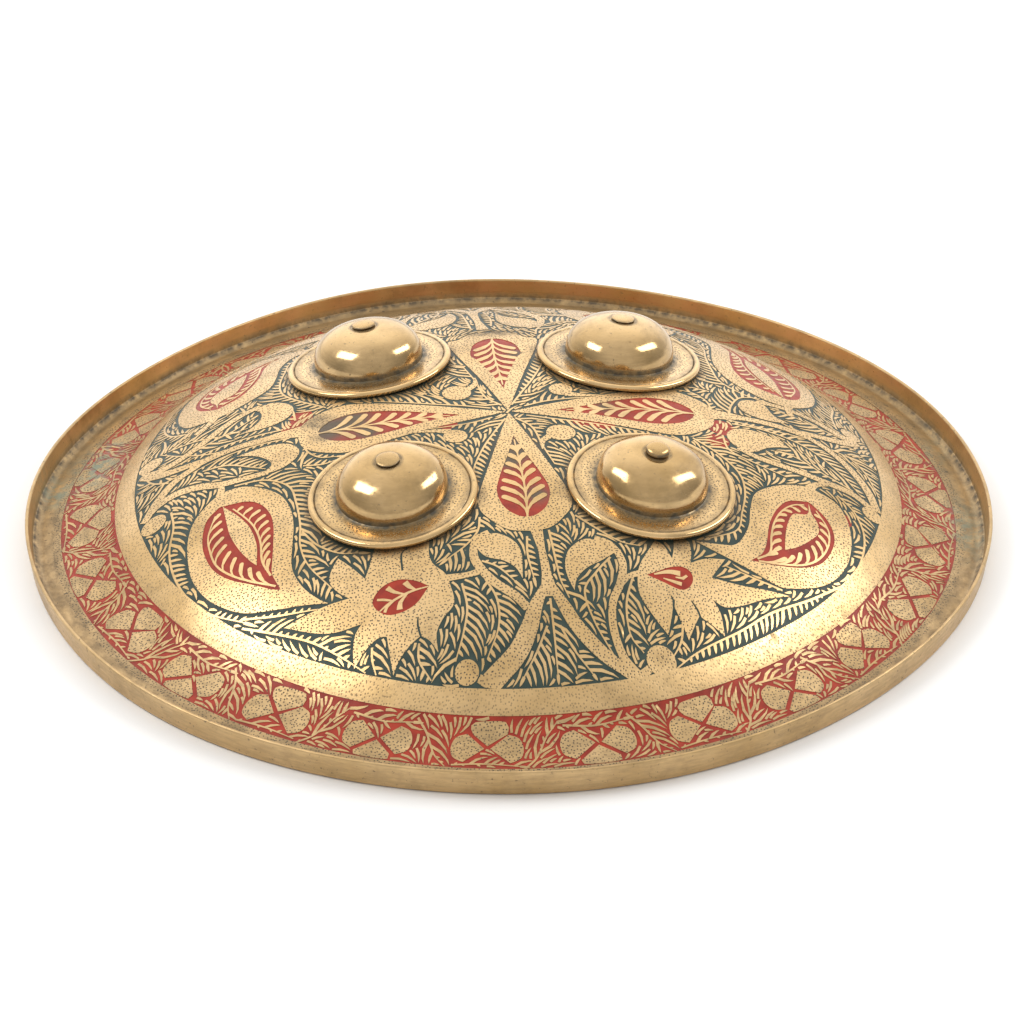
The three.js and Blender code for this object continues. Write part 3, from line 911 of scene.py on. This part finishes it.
def add_object(name, vertices, faces, materials, indices=None, sharp=40):
    mesh = bpy.data.meshes.new(name)
    mesh.from_pydata((np.asarray(vertices) * MM).tolist(), [], faces)
    for material in materials:
        mesh.materials.append(material)
    if indices is not None:
        mesh.polygons.foreach_set("material_index", np.asarray(indices, np.int32))
    mesh.polygons.foreach_set("use_smooth", np.ones(len(mesh.polygons), bool))
    mesh.set_sharp_from_angle(angle=math.radians(sharp))
    mesh.update()
    made = bpy.data.objects.new(name, mesh)
    bpy.context.scene.collection.objects.link(made)
    return made


def paint(made, name, values):
    """A number for each vertex, for the material to read."""
    layer = made.data.attributes.new(name, "FLOAT", "POINT")
    layer.data.foreach_set("value", np.clip(values, 0, 1).astype(np.float32))


def spots(x, y, places):
    """Soft round patches: place, size across and along, strength."""
    total = np.zeros(len(x))
    for cx, cy, wide, long, strength in places:
        total += strength * np.exp(-(((x - cx) / wide) ** 2) - ((y - cy) / long) ** 2)
    return total


def soft_ring(r, radius, width):
    """Full on a radius and gone a few widths away from it."""
    return np.exp(-(((r - radius) / width) ** 2))


# Soft patches of copper green and of worn lacquer: place, size across and along, strength
VERDIGRIS = (
    (-168, 58, 9, 16, 1.0),
    (-186, 44, 6, 12, 0.9),
    (-160, 78, 7, 9, 0.6),
    (188, -22, 7, 22, 0.7),
    (186, 40, 5, 18, 0.4),
)
WORN = (
    (-78, 9, 5, 5, 1.0),
    (-76, -3, 4, 4, 0.8),
    (2, 77, 13, 4, 0.9),
    (-44, -16, 5, 3, 0.3),
    (20, -78, 4, 3, 0.3),
)

# How dull the brass is, from the field out to the rim, and how much more under its foot
TARNISH_RADII = (160, 164, 184, 187, 194, 195.5, 197.72, 197.8)
TARNISH_SHARES = (0.1, 0.65, 0.65, 1.0, 0.9, 0.15, 0.15, 0.5)
TARNISH_BELOW = 0.6
FOOT_LEVEL = 0.5

# Rings of dirt and painted shade: painted shade and dirt in the corner inside the rim, dirt along the
# border, and a painted shadow round the bosses
CORNER_RADIUS, CORNER_WIDTH = 195.6, 1.3
CORNER_END, CORNER_TOP = 196.9, 6.0
BORDER_LINE, BORDER_LINE_WIDTH, BORDER_LINE_DIRT = 186.0, 2.0, 0.25
# Width and strength of the painted shadow under the edge of each boss flange
SEAT_WIDTH, SEAT_SHADOW = 1.6, 0.75
DOME_LEVEL = 20.0
PLAIN_STIPPLE = 0.55


def paint_shield(made, vertices, r, dots):
    """Dots, soiling with painted shade, copper green, dull brass and darkened red."""
    x, y, z = vertices.T
    plain = (r > DOME_EDGE - 0.1) & (r < BORDER_INNER + 0.1)
    paint(made, "stipple", dots * np.where(plain, PLAIN_STIPPLE, 1))
    on_dome = z > DOME_LEVEL
    # Painted shade and dirt in the concave corner inside the rim
    grime_and_shade = soft_ring(r, CORNER_RADIUS, CORNER_WIDTH) * (z < CORNER_TOP) * (r < CORNER_END)
    grime_and_shade += BORDER_LINE_DIRT * soft_ring(r, BORDER_LINE, BORDER_LINE_WIDTH)
    grime_and_shade += spots(x, y, WORN) * on_dome
    for degrees, reach, _ in BOSSES.values():
        cx, cy = turned([(reach, 0)], degrees)[0]
        # Painted shadow on the sheet under the edge of the boss flange
        grime_and_shade += SEAT_SHADOW * soft_ring(np.hypot(x - cx, y - cy), FLANGE_RADIUS, SEAT_WIDTH) * on_dome
    paint(made, "grime_and_shade", grime_and_shade)
    paint(made, "verdigris", spots(x, y, VERDIGRIS))
    paint(made, "tarnish_and_shade", np.interp(r, TARNISH_RADII, TARNISH_SHARES) + TARNISH_BELOW * (z < FOOT_LEVEL))
    paint(made, "dark", spots(x, y, [(cx, cy, size, size, DARK_STRENGTH) for cx, cy, size in DARK_CELLS]))


def edge_keys(sides, count):
    """One number for each edge, from its first to its second point, of so many points."""
    return sides[:, 0].astype(np.int64) * count + sides[:, 1]


def ornament_mesh():
    """The face with its lacquer sunk below the brass, and the edge that the rim joins on to."""
    plan, triangles, kinds, stippled = triangulated()
    metal = kinds == BRASS
    used_upper = np.unique(triangles[metal])
    used_lower = np.unique(triangles[~metal])
    upper = np.full(len(plan), -1)
    lower = np.full(len(plan), -1)
    upper[used_upper] = np.arange(len(used_upper))
    lower[used_lower] = len(used_upper) + np.arange(len(used_lower))
    vertices = np.vstack([lifted(plan[used_upper], 0), lifted(plan[used_lower], CUT)])
    r = np.hypot(*plan[np.concatenate([used_upper, used_lower])].T)
    faces = np.where(metal[:, None], upper[triangles], lower[triangles]).tolist()
    # A wall stands where brass and lacquer share an edge.
    sides = np.vstack([triangles[:, [0, 1]], triangles[:, [1, 2]], triangles[:, [2, 0]]])
    side_metal = np.tile(metal, 3)
    brass_sides = sides[side_metal]
    lacquer_sides = sides[~side_metal][:, ::-1]
    shared = np.isin(edge_keys(brass_sides, len(plan)), edge_keys(lacquer_sides, len(plan)))
    a, b = brass_sides[shared].T
    faces += np.stack([upper[a], lower[a], lower[b], upper[b]], 1).tolist()
    indices = kinds.tolist() + [BRASS] * len(a)
    dots = np.zeros(len(vertices))
    dots[upper[np.unique(triangles[metal & stippled])]] = 1
    # The outermost circle of the drawing, put in order round the shield.
    outermost = np.argsort(-np.hypot(plan[:, 0], plan[:, 1]))[:TURNS]
    turn = np.arctan2(plan[outermost, 1], plan[outermost, 0]) / math.tau * TURNS
    seam = np.empty(TURNS, int)
    seam[np.round(turn).astype(int) % TURNS] = upper[outermost]
    return vertices, r, faces, indices, dots, seam


def build_shield(materials):
    """The ornament, with the ring, the rim and the underside turned on from its edge."""
    vertices, r, faces, indices, dots, seam = ornament_mesh()
    base = len(vertices)
    profile = rim_profile()
    circle = disc(0, 0, SEAM_RADIUS, TURNS) / SEAM_RADIUS
    rings = []
    for radius, z in profile:
        x, y = out_of_round(circle[:, 0] * radius, circle[:, 1] * radius)
        rings.append(np.stack([x, y, np.full(TURNS, z)], 1))
    vertices = np.vstack([vertices, *rings, [(0, 0, DOME_TOP - SHEET)]])
    r = np.concatenate([r, np.repeat(profile[:, 0], TURNS), [0]])
    after = np.roll(np.arange(TURNS), -1)
    faces += np.stack([seam, base + np.arange(TURNS), base + after, seam[after]], 1).tolist()
    for k in range(len(profile) - 1):
        faces += ring_faces(base + k * TURNS, base + (k + 1) * TURNS, TURNS).tolist()
    last = base + (len(profile) - 1) * TURNS
    middle = last + TURNS
    faces += [(last + k, middle, last + (k + 1) % TURNS) for k in range(TURNS)]
    indices += [BRASS] * (TURNS * (len(profile) + 1))
    made = add_object("shield_sheet", vertices, faces, materials, indices)
    paint_shield(made, vertices, r, np.pad(dots, (0, len(vertices) - len(dots))))
    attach(made, "root")
    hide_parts("shield")


# Bosses and rivets: turned about their own axis, square to the dome

BOSS_TURNS = 112
RIVET_TURNS = 48
GROOVE_RADIUS = 31.6
GROOVE_WIDTH = 0.4
GROOVE_DEPTH = 0.45
DENTS_FROM = 4.0
DENT = 0.15
RIVET_DENT, TALL_RIVET_DENT = 0.05, 0.15
TALL_HEAD = 2.0
BLUNT = 0.55


def lathe(profile, count, closed):
    """Rings of vertices for a profile of radius and height, a point where the radius is nothing."""
    turn = np.linspace(0, math.tau, count, endpoint=False)
    vertices = []
    starts = []
    for r, z in profile:
        starts.append(len(vertices))
        if r < 1e-6:
            vertices.append((0, 0, z))
        else:
            vertices.extend(zip(r * np.cos(turn), r * np.sin(turn), np.full(count, z)))
    faces = []
    pairs = list(zip(range(len(profile)), range(1, len(profile))))
    if closed:
        pairs.append((len(profile) - 1, 0))
    for i, j in pairs:
        a, b = starts[i], starts[j]
        for k in range(count):
            n = (k + 1) % count
            if profile[i][0] < 1e-6:
                faces.append((a, b + k, b + n))
            elif profile[j][0] < 1e-6:
                faces.append((a + k, b, a + n))
            else:
                faces.append((a + k, b + k, b + n, a + n))
    return np.array(vertices, float), faces


def seat_height(r):
    return GAP - r**2 / (2 * SEAT_RADIUS)


def boss_curve(radius, foot, height, start, count):
    last = math.acos((start / radius) ** (BOSS_FULLNESS / 2))
    angle = np.linspace(0, last, count)
    r = radius * np.cos(angle) ** (2 / BOSS_FULLNESS)
    return np.stack([r, foot + (height - foot) * np.sin(angle) ** (2 / BOSS_FULLNESS)], 1)


def boss_profile():
    """Outside from the rivet hole down to the flange, round its rolled edge and back inside."""
    outer = boss_curve(BOSS_RADIUS, FLANGE_TOP + 0.2, BOSS_HEIGHT, HOLE_RADIUS, 30)
    inner = boss_curve(BOSS_RADIUS - BOSS_SHEET, 0, BOSS_HEIGHT - BOSS_SHEET, HOLE_RADIUS, 12)
    under = seat_height(FLANGE_RADIUS)
    middle = (FLANGE_TOP + under) / 2
    half = (FLANGE_TOP - under) / 2
    roll = np.linspace(math.pi / 2, -math.pi / 2, 11)
    start = FLANGE_RADIUS - FLANGE_EDGE
    edge = np.stack([start + FLANGE_EDGE * np.cos(roll), middle + half * np.sin(roll)], 1)
    groove = [
        (GROOVE_RADIUS - GROOVE_WIDTH, FLANGE_TOP - 0.1),
        (GROOVE_RADIUS, FLANGE_TOP - 0.1 - GROOVE_DEPTH),
        (GROOVE_RADIUS + GROOVE_WIDTH, FLANGE_TOP - 0.05),
    ]
    flange = [
        (BOSS_RADIUS + 0.5, FLANGE_TOP - 0.15),
        (BOSS_RADIUS + 2, FLANGE_TOP - 0.2),
        (28, FLANGE_TOP - 0.15),
    ]
    seat = [(r, seat_height(r)) for r in (30, 26, BOSS_RADIUS - BOSS_SHEET)]
    return [tuple(p) for p in np.vstack([outer[::-1], flange, groove, edge, seat, inner[1:]])]


def boss_place(degrees, reach):
    """Where a boss stands: on the dome and leaning with it."""
    turn = math.radians(degrees)
    place = Matrix.Translation((reach * math.cos(turn), reach * math.sin(turn), float(dome_height(reach))))
    lean = math.atan(float(dome_slope(reach)))
    return np.array(place @ Matrix.Rotation(turn, 4, "Z") @ Matrix.Rotation(lean, 4, "Y"))


def placed(vertices, place):
    return vertices @ place[:3, :3].T + place[:3, 3]


def dented(vertices, low, size, seed):
    """Soft dents that grow from nothing at a given height."""
    dents = np.random.default_rng(seed)
    shift = np.zeros(len(vertices))
    for _ in range(7):
        wave = dents.normal(0, 1, 3) / dents.uniform(5, 14)
        shift += dents.uniform(0.3, 1.0) * np.sin(vertices @ wave + dents.uniform(0, math.tau))
    out = vertices / np.maximum(np.linalg.norm(vertices, axis=1), 1e-6)[:, None]
    share = np.clip((vertices[:, 2] - low) / 5, 0, 1)
    return vertices + out * (size * shift * share)[:, None]


def build_boss(name, degrees, reach, material, seed):
    vertices, faces = lathe(boss_profile(), BOSS_TURNS, True)
    r, z = np.hypot(vertices[:, 0], vertices[:, 1]), vertices[:, 2]
    shape = placed(dented(vertices, DENTS_FROM, DENT, seed), boss_place(degrees, reach))
    made = add_object(f"boss_{name}_sheet", shape, faces, [material])
    paint(made, "stipple", (r > BOSS_RADIUS + 1.5) * (r < GROOVE_RADIUS - 1) * (z > 0.5))
    foot = soft_ring(r, BOSS_RADIUS + 0.6, 1.35) * (z < 4)
    line = soft_ring(r, GROOVE_RADIUS, 0.5) * (z > 0.8)
    seat = soft_ring(r, HEAD_RADIUS + 0.3, 0.7) * (z > BOSS_HEIGHT - 3)
    # Dirt in the foot, the groove and round the rivet; the last term is painted shade on the underside and
    # lower rolled edge of the flange
    paint(made, "grime_and_shade", 1.3 * foot + line + 0.8 * seat + 0.35 * (z < 0.3))
    paint(made, "verdigris", 0.12 * foot)
    # Tarnish, and on the dome a painted dark reflection that grows towards its foot
    paint(made, "tarnish_and_shade", np.where(r < BOSS_RADIUS + 1, 0.3 + 0.5 * np.clip(1 - z / 11, 0, 1), 0.1))
    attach(made, "root")
    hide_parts(f"boss_{name}")


def rivet_profile(head):
    tail_top = -SHEET - TAIL_GAP
    foot = BOSS_HEIGHT + GAP
    bulge = np.linspace(0.05, math.pi / 2, 9)
    blunt = BLUNT if head > TALL_HEAD else 1.0
    rise = foot + 0.15 * head + 0.85 * head * np.sin(bulge)
    crown = np.stack([HEAD_RADIUS * np.cos(bulge) ** blunt, rise], 1)
    crown[-1, 0] = 0
    tail = np.linspace(math.pi / 2, 0, 6)
    end = np.stack([TAIL_RADIUS * np.cos(tail), tail_top - TAIL_HEIGHT * np.sin(tail)], 1)
    end[0, 0] = 0
    shank = [(TAIL_RADIUS, tail_top), (SHANK_RADIUS, tail_top), (SHANK_RADIUS, foot)]
    brim = [(HEAD_RADIUS - 0.2, foot)]
    return [tuple(p) for p in np.vstack([end, shank, brim, crown])][::-1]


def build_rivet(name, degrees, reach, head, material, seed):
    vertices, faces = lathe(rivet_profile(head), RIVET_TURNS, False)
    r, z = np.hypot(vertices[:, 0], vertices[:, 1]), vertices[:, 2]
    dent = TALL_RIVET_DENT if head > TALL_HEAD else RIVET_DENT
    shape = placed(dented(vertices, BOSS_HEIGHT + GAP, dent, seed), boss_place(degrees, reach))
    made = add_object(f"rivet_{name}_head", shape, faces, [material])
    paint(made, "stipple", np.zeros(len(r)))
    paint(made, "grime_and_shade", 0.9 * (r > HEAD_RADIUS * 0.93) * (z > 0))
    paint(made, "verdigris", np.zeros(len(r)))
    paint(made, "tarnish_and_shade", np.full(len(r), 0.3))
    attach(made, "root")
    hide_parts(f"rivet_{name}")


# Materials


def add(tree, kind, settings=None, inputs=None):
    """A shader node with its settings, and its inputs set or linked."""
    made = tree.nodes.new("ShaderNode" + kind)
    for key, value in (settings or {}).items():
        setattr(made, key, value)
    for key, value in (inputs or {}).items():
        if isinstance(value, bpy.types.NodeSocket):
            tree.links.new(value, made.inputs[key])
        else:
            made.inputs[key].default_value = value
    return made


def maths(tree, operation, first, second=0.0):
    return add(tree, "Math", {"operation": operation}, {0: first, 1: second}).outputs[0]


def noise(tree, coords, size, detail=4.0, rough=0.55):
    """Cloudy noise whose clouds are about so many millimetres across."""
    inputs = {"Vector": coords, "Scale": 1000.0 / size, "Detail": detail, "Roughness": rough}
    return add(tree, "TexNoise", None, inputs).outputs[0]


def ranged(tree, value, low, high, to_low=0.0, to_high=1.0):
    inputs = {0: value, 1: low, 2: high, 3: to_low, 4: to_high}
    return add(tree, "MapRange", {"clamp": True}, inputs).outputs[0]


def blended(tree, share, first, second):
    made = add(tree, "Mix", {"data_type": "RGBA"}, {0: share, 6: first, 7: second})
    return made.outputs[2]


def painted(tree, name):
    return add(tree, "Attribute", {"attribute_name": name}).outputs["Fac"]


def new_material(name):
    material = bpy.data.materials.new(name)
    material.use_nodes = True
    tree = material.node_tree
    shader = tree.nodes["Principled BSDF"]
    coords = add(tree, "TexCoord").outputs["Object"]
    return material, tree, shader, coords


BRASS_LIGHT = (0.78, 0.545, 0.28, 1)
BRASS_DEEP = (0.62, 0.41, 0.18, 1)
# Dull brown of tarnish and smudges, also the painted dark reflection low on the bosses
BRASS_DULL_AND_SHADE = (0.22, 0.148, 0.07, 1)
# Dark brown of dots, pits, dirt and painted shade
DARK_BROWN = (0.075, 0.058, 0.036, 1)
BURNT = (0.1, 0.072, 0.045, 1)
SPECK = (0.25, 0.16, 0.07, 1)
COPPER_GREEN = (0.2, 0.23, 0.17, 1)
GREEN_LIGHT = (0.04, 0.062, 0.05, 1)
GREEN_DEEP = (0.021, 0.038, 0.032, 1)
RED_LIGHT = (0.37, 0.035, 0.014, 1)
RED_DEEP = (0.24, 0.02, 0.009, 1)
FLOOR_LIGHT = (0.9, 0.9, 0.9, 1)
FLOOR_DEEP = (0.86, 0.86, 0.86, 1)
STUDIO = (1, 0.985, 0.96, 1)
DOT_PITCH = 1.4


def copper_green(tree, coords):
    """Where copper green has grown, in broken patches."""
    broken = ranged(tree, noise(tree, coords, 4, 6, 0.65), 0.42, 0.58)
    return maths(tree, "MULTIPLY", painted(tree, "verdigris"), broken)


def brass_material(name, rough, dot_strength, dulling):
    """Old brass: clouded colour, dark punched dots, soiling, painted shade and green in the corners, a
    painted dark reflection low on the bosses, fine wear.
    """
    material, tree, shader, coords = new_material(name)
    cloud = noise(tree, coords, 34, 5)
    fine = noise(tree, coords, 1.6, 3)
    tone = blended(tree, ranged(tree, cloud, 0.35, 0.68), BRASS_LIGHT, BRASS_DEEP)
    pattern = {"Vector": coords, "Scale": 1000 / DOT_PITCH, "Randomness": 0.8}
    dots = add(tree, "TexVoronoi", {"voronoi_dimensions": "2D"}, pattern)
    near = ranged(tree, dots.outputs["Distance"], 0.16, 0.27, 1, 0)
    patchy = ranged(tree, noise(tree, coords, 9, 2), 0.3, 0.5, 0.5, 1)
    dot = maths(tree, "MULTIPLY", maths(tree, "MULTIPLY", near, painted(tree, "stipple")), patchy)
    uneven = ranged(tree, noise(tree, coords, 3.5, 5), 0.3, 0.6, 0.25, 1)
    dirt_and_shade = maths(tree, "MULTIPLY", painted(tree, "grime_and_shade"), uneven)
    specks = ranged(tree, noise(tree, coords, 5, 6, 0.7), 0.66, 0.74, 0, 0.55)
    green = copper_green(tree, coords)
    level = add(tree, "VectorMath", {"operation": "MULTIPLY"}, {0: coords, 1: (1, 1, 7)}).outputs[0]
    streaks = ranged(tree, noise(tree, level, 9, 6, 0.65), 0.34, 0.64, 0.45, 1)
    tarnish_and_shade = painted(tree, "tarnish_and_shade")
    dull = maths(tree, "MULTIPLY", tarnish_and_shade, streaks)
    # Dull tarnish, with the painted dark reflection low on the bosses
    tone = blended(tree, dull, tone, BRASS_DULL_AND_SHADE)
    holes = ranged(tree, noise(tree, coords, 1.7, 4, 0.6), 0.63, 0.69)
    pits = maths(tree, "MULTIPLY", ranged(tree, tarnish_and_shade, 0, 1, 0.25, 1), holes)
    tone = blended(tree, pits, tone, DARK_BROWN)
    smudge = ranged(tree, noise(tree, coords, 20, 7, 0.68), 0.5, 0.72, 0, 0.45)
    tone = blended(tree, smudge, tone, BRASS_DULL_AND_SHADE)
    tone = blended(tree, maths(tree, "MULTIPLY", dot, dot_strength), tone, DARK_BROWN)
    tone = blended(tree, specks, tone, SPECK)
    # Dirt and painted shade, in dark brown
    tone = blended(tree, dirt_and_shade, tone, DARK_BROWN)
    tone = blended(tree, green, tone, COPPER_GREEN)
    tree.links.new(tone, shader.inputs["Base Color"])
    foul_and_shade = maths(tree, "MAXIMUM", dirt_and_shade, green)
    foul_and_shade = maths(tree, "MAXIMUM", foul_and_shade, maths(tree, "MULTIPLY", dull, dulling))
    foul_and_shade = maths(tree, "MAXIMUM", foul_and_shade, maths(tree, "MULTIPLY", dot, 0.9 * dot_strength))
    foul_and_shade = maths(tree, "MAXIMUM", foul_and_shade, pits)
    tree.links.new(ranged(tree, foul_and_shade, 0, 1, 1, 0.15), shader.inputs["Metallic"])
    gloss = ranged(tree, fine, 0.3, 0.7, rough - 0.05, rough + 0.07)
    gloss = maths(tree, "ADD", gloss, maths(tree, "MULTIPLY", foul_and_shade, 0.35))
    tree.links.new(gloss, shader.inputs["Roughness"])
    height = maths(tree, "SUBTRACT", maths(tree, "MULTIPLY", fine, 0.25), dot)
    bump = add(tree, "Bump", None, {"Strength": 0.35, "Distance": 0.00012, "Height": height})
    tree.links.new(bump.outputs[0], shader.inputs["Normal"])
    return material


def lacquer_material(name, light, deep):
    """Hard old lacquer: uneven in tone, a little worn through, with a low gloss."""
    material, tree, shader, coords = new_material(name)
    tone = blended(tree, ranged(tree, noise(tree, coords, 7, 5), 0.35, 0.65), light, deep)
    worn = ranged(tree, noise(tree, coords, 2.2, 5, 0.7), 0.66, 0.76, 0, 0.5)
    tone = blended(tree, worn, tone, BRASS_DEEP)
    # Dirt, worn spots and painted shadow, in dark brown
    tone = blended(tree, painted(tree, "grime_and_shade"), tone, DARK_BROWN)
    tone = blended(tree, painted(tree, "dark"), tone, BURNT)
    green = copper_green(tree, coords)
    tone = blended(tree, green, tone, COPPER_GREEN)
    tree.links.new(tone, shader.inputs["Base Color"])
    tree.links.new(ranged(tree, noise(tree, coords, 3, 3), 0.3, 0.7, 0.38, 0.52), shader.inputs["Roughness"])
    shader.inputs["Specular IOR Level"].default_value = 0.28
    grain = noise(tree, coords, 1.2, 3)
    bump = add(tree, "Bump", None, {"Strength": 0.3, "Distance": 0.0001, "Height": grain})
    tree.links.new(bump.outputs[0], shader.inputs["Normal"])
    return material


shield_brass = brass_material("shield_brass", 0.3, 1.0, 0.75)
boss_brass = brass_material("boss_brass", 0.14, 1.0, 0.12)
rivet_brass = brass_material("rivet_brass", 0.24, 0.0, 0.2)
green_lacquer = lacquer_material("green_lacquer", GREEN_LIGHT, GREEN_DEEP)
red_lacquer = lacquer_material("red_lacquer", RED_LIGHT, RED_DEEP)

build_shield([shield_brass, green_lacquer, red_lacquer])
for seed, (name, (degrees, reach, head)) in enumerate(BOSSES.items()):
    build_boss(name, degrees, reach, boss_brass, 20 + seed)
    build_rivet(name, degrees, reach, head, rivet_brass, 40 + seed)


# Floor, light and camera

FLOOR_HALF = 6.0
CAMERA_TURN = -5.8
CAMERA_RISE = 30.884
CAMERA_DISTANCE = 2.1849
FOCAL_PIXELS = 5259.8
IMAGE_SIZE = 1024
AIM_PIXEL = (508.4, 530.2)
WORLD_FRONT = 0.82
WORLD_BACK = 1.8
WORLD_SIDES = 0.5


def build_floor():
    corners = [(x * FLOOR_HALF, y * FLOOR_HALF, 0) for x, y in ((-1, -1), (1, -1), (1, 1), (-1, 1))]
    mesh = bpy.data.meshes.new("floor")
    mesh.from_pydata(corners, [], [(0, 1, 2, 3)])
    floor = bpy.data.objects.new("floor", mesh)
    bpy.context.scene.collection.objects.link(floor)
    material, tree, shader, coords = new_material("floor_pale")
    tone = blended(tree, noise(tree, coords, 400, 2), FLOOR_LIGHT, FLOOR_DEEP)
    tree.links.new(tone, shader.inputs["Base Color"])
    shader.inputs["Roughness"].default_value = 0.9
    mesh.materials.append(material)


def add_light(name, towards, distance, along, size, power):
    """A soft oblong light that faces the shield, its length lying along a direction."""
    data = bpy.data.lights.new(name, "AREA")
    data.shape = "RECTANGLE"
    data.size, data.size_y = size
    data.energy = power
    lamp = bpy.data.objects.new(name, data)
    back = Vector(towards).normalized()
    across = Vector(along).cross(back).normalized()
    lamp.matrix_world = Matrix((across, back.cross(across), back)).transposed().to_4x4()
    lamp.location = back * distance
    bpy.context.scene.collection.objects.link(lamp)


def build_camera():
    turn, rise = math.radians(CAMERA_TURN), math.radians(CAMERA_RISE)
    back = Vector((math.sin(turn) * math.cos(rise), -math.cos(turn) * math.cos(rise), math.sin(rise)))
    data = bpy.data.cameras.new("camera")
    data.sensor_width = 36
    data.lens = FOCAL_PIXELS * data.sensor_width / IMAGE_SIZE
    data.shift_x = (IMAGE_SIZE / 2 - AIM_PIXEL[0]) / IMAGE_SIZE
    data.shift_y = (AIM_PIXEL[1] - IMAGE_SIZE / 2) / IMAGE_SIZE
    data.clip_end = 50
    camera = bpy.data.objects.new("camera", data)
    camera.location = back * CAMERA_DISTANCE
    camera.rotation_mode = "QUATERNION"
    camera.rotation_quaternion = (-back).to_track_quat("-Z", "Y")
    bpy.context.scene.collection.objects.link(camera)
    bpy.context.scene.camera = camera


def build_world():
    """A pale studio that is brightest behind the shield and dark on the camera's side."""
    world = bpy.data.worlds.new("studio")
    world.use_nodes = True
    tree = world.node_tree
    direction = add(tree, "TexCoord").outputs["Generated"]
    parts = add(tree, "SeparateXYZ", None, {0: direction}).outputs
    depth = ranged(tree, parts[1], -0.4, 0.9)
    level = ranged(tree, maths(tree, "MULTIPLY", depth, depth), 0, 1, WORLD_FRONT, WORLD_BACK)
    sides = ranged(tree, maths(tree, "MULTIPLY", parts[0], parts[0]), 0, 1, 1, WORLD_SIDES)
    background = tree.nodes["Background"]
    background.inputs["Color"].default_value = STUDIO
    tree.links.new(maths(tree, "MULTIPLY", level, sides), background.inputs["Strength"])
    bpy.context.scene.world = world


build_floor()
add_light("softbox_left", (-0.65, 0.03, 0.76), 1.5, (-0.16, 0.33, -0.14), (0.5, 0.85), 8)
add_light("softbox_right", (0.75, 0.08, 0.64), 1.6, (0.17, 0.44, -0.25), (0.45, 1.1), 9)
build_camera()
build_world()
bpy.context.scene.view_settings.view_transform = "Standard"
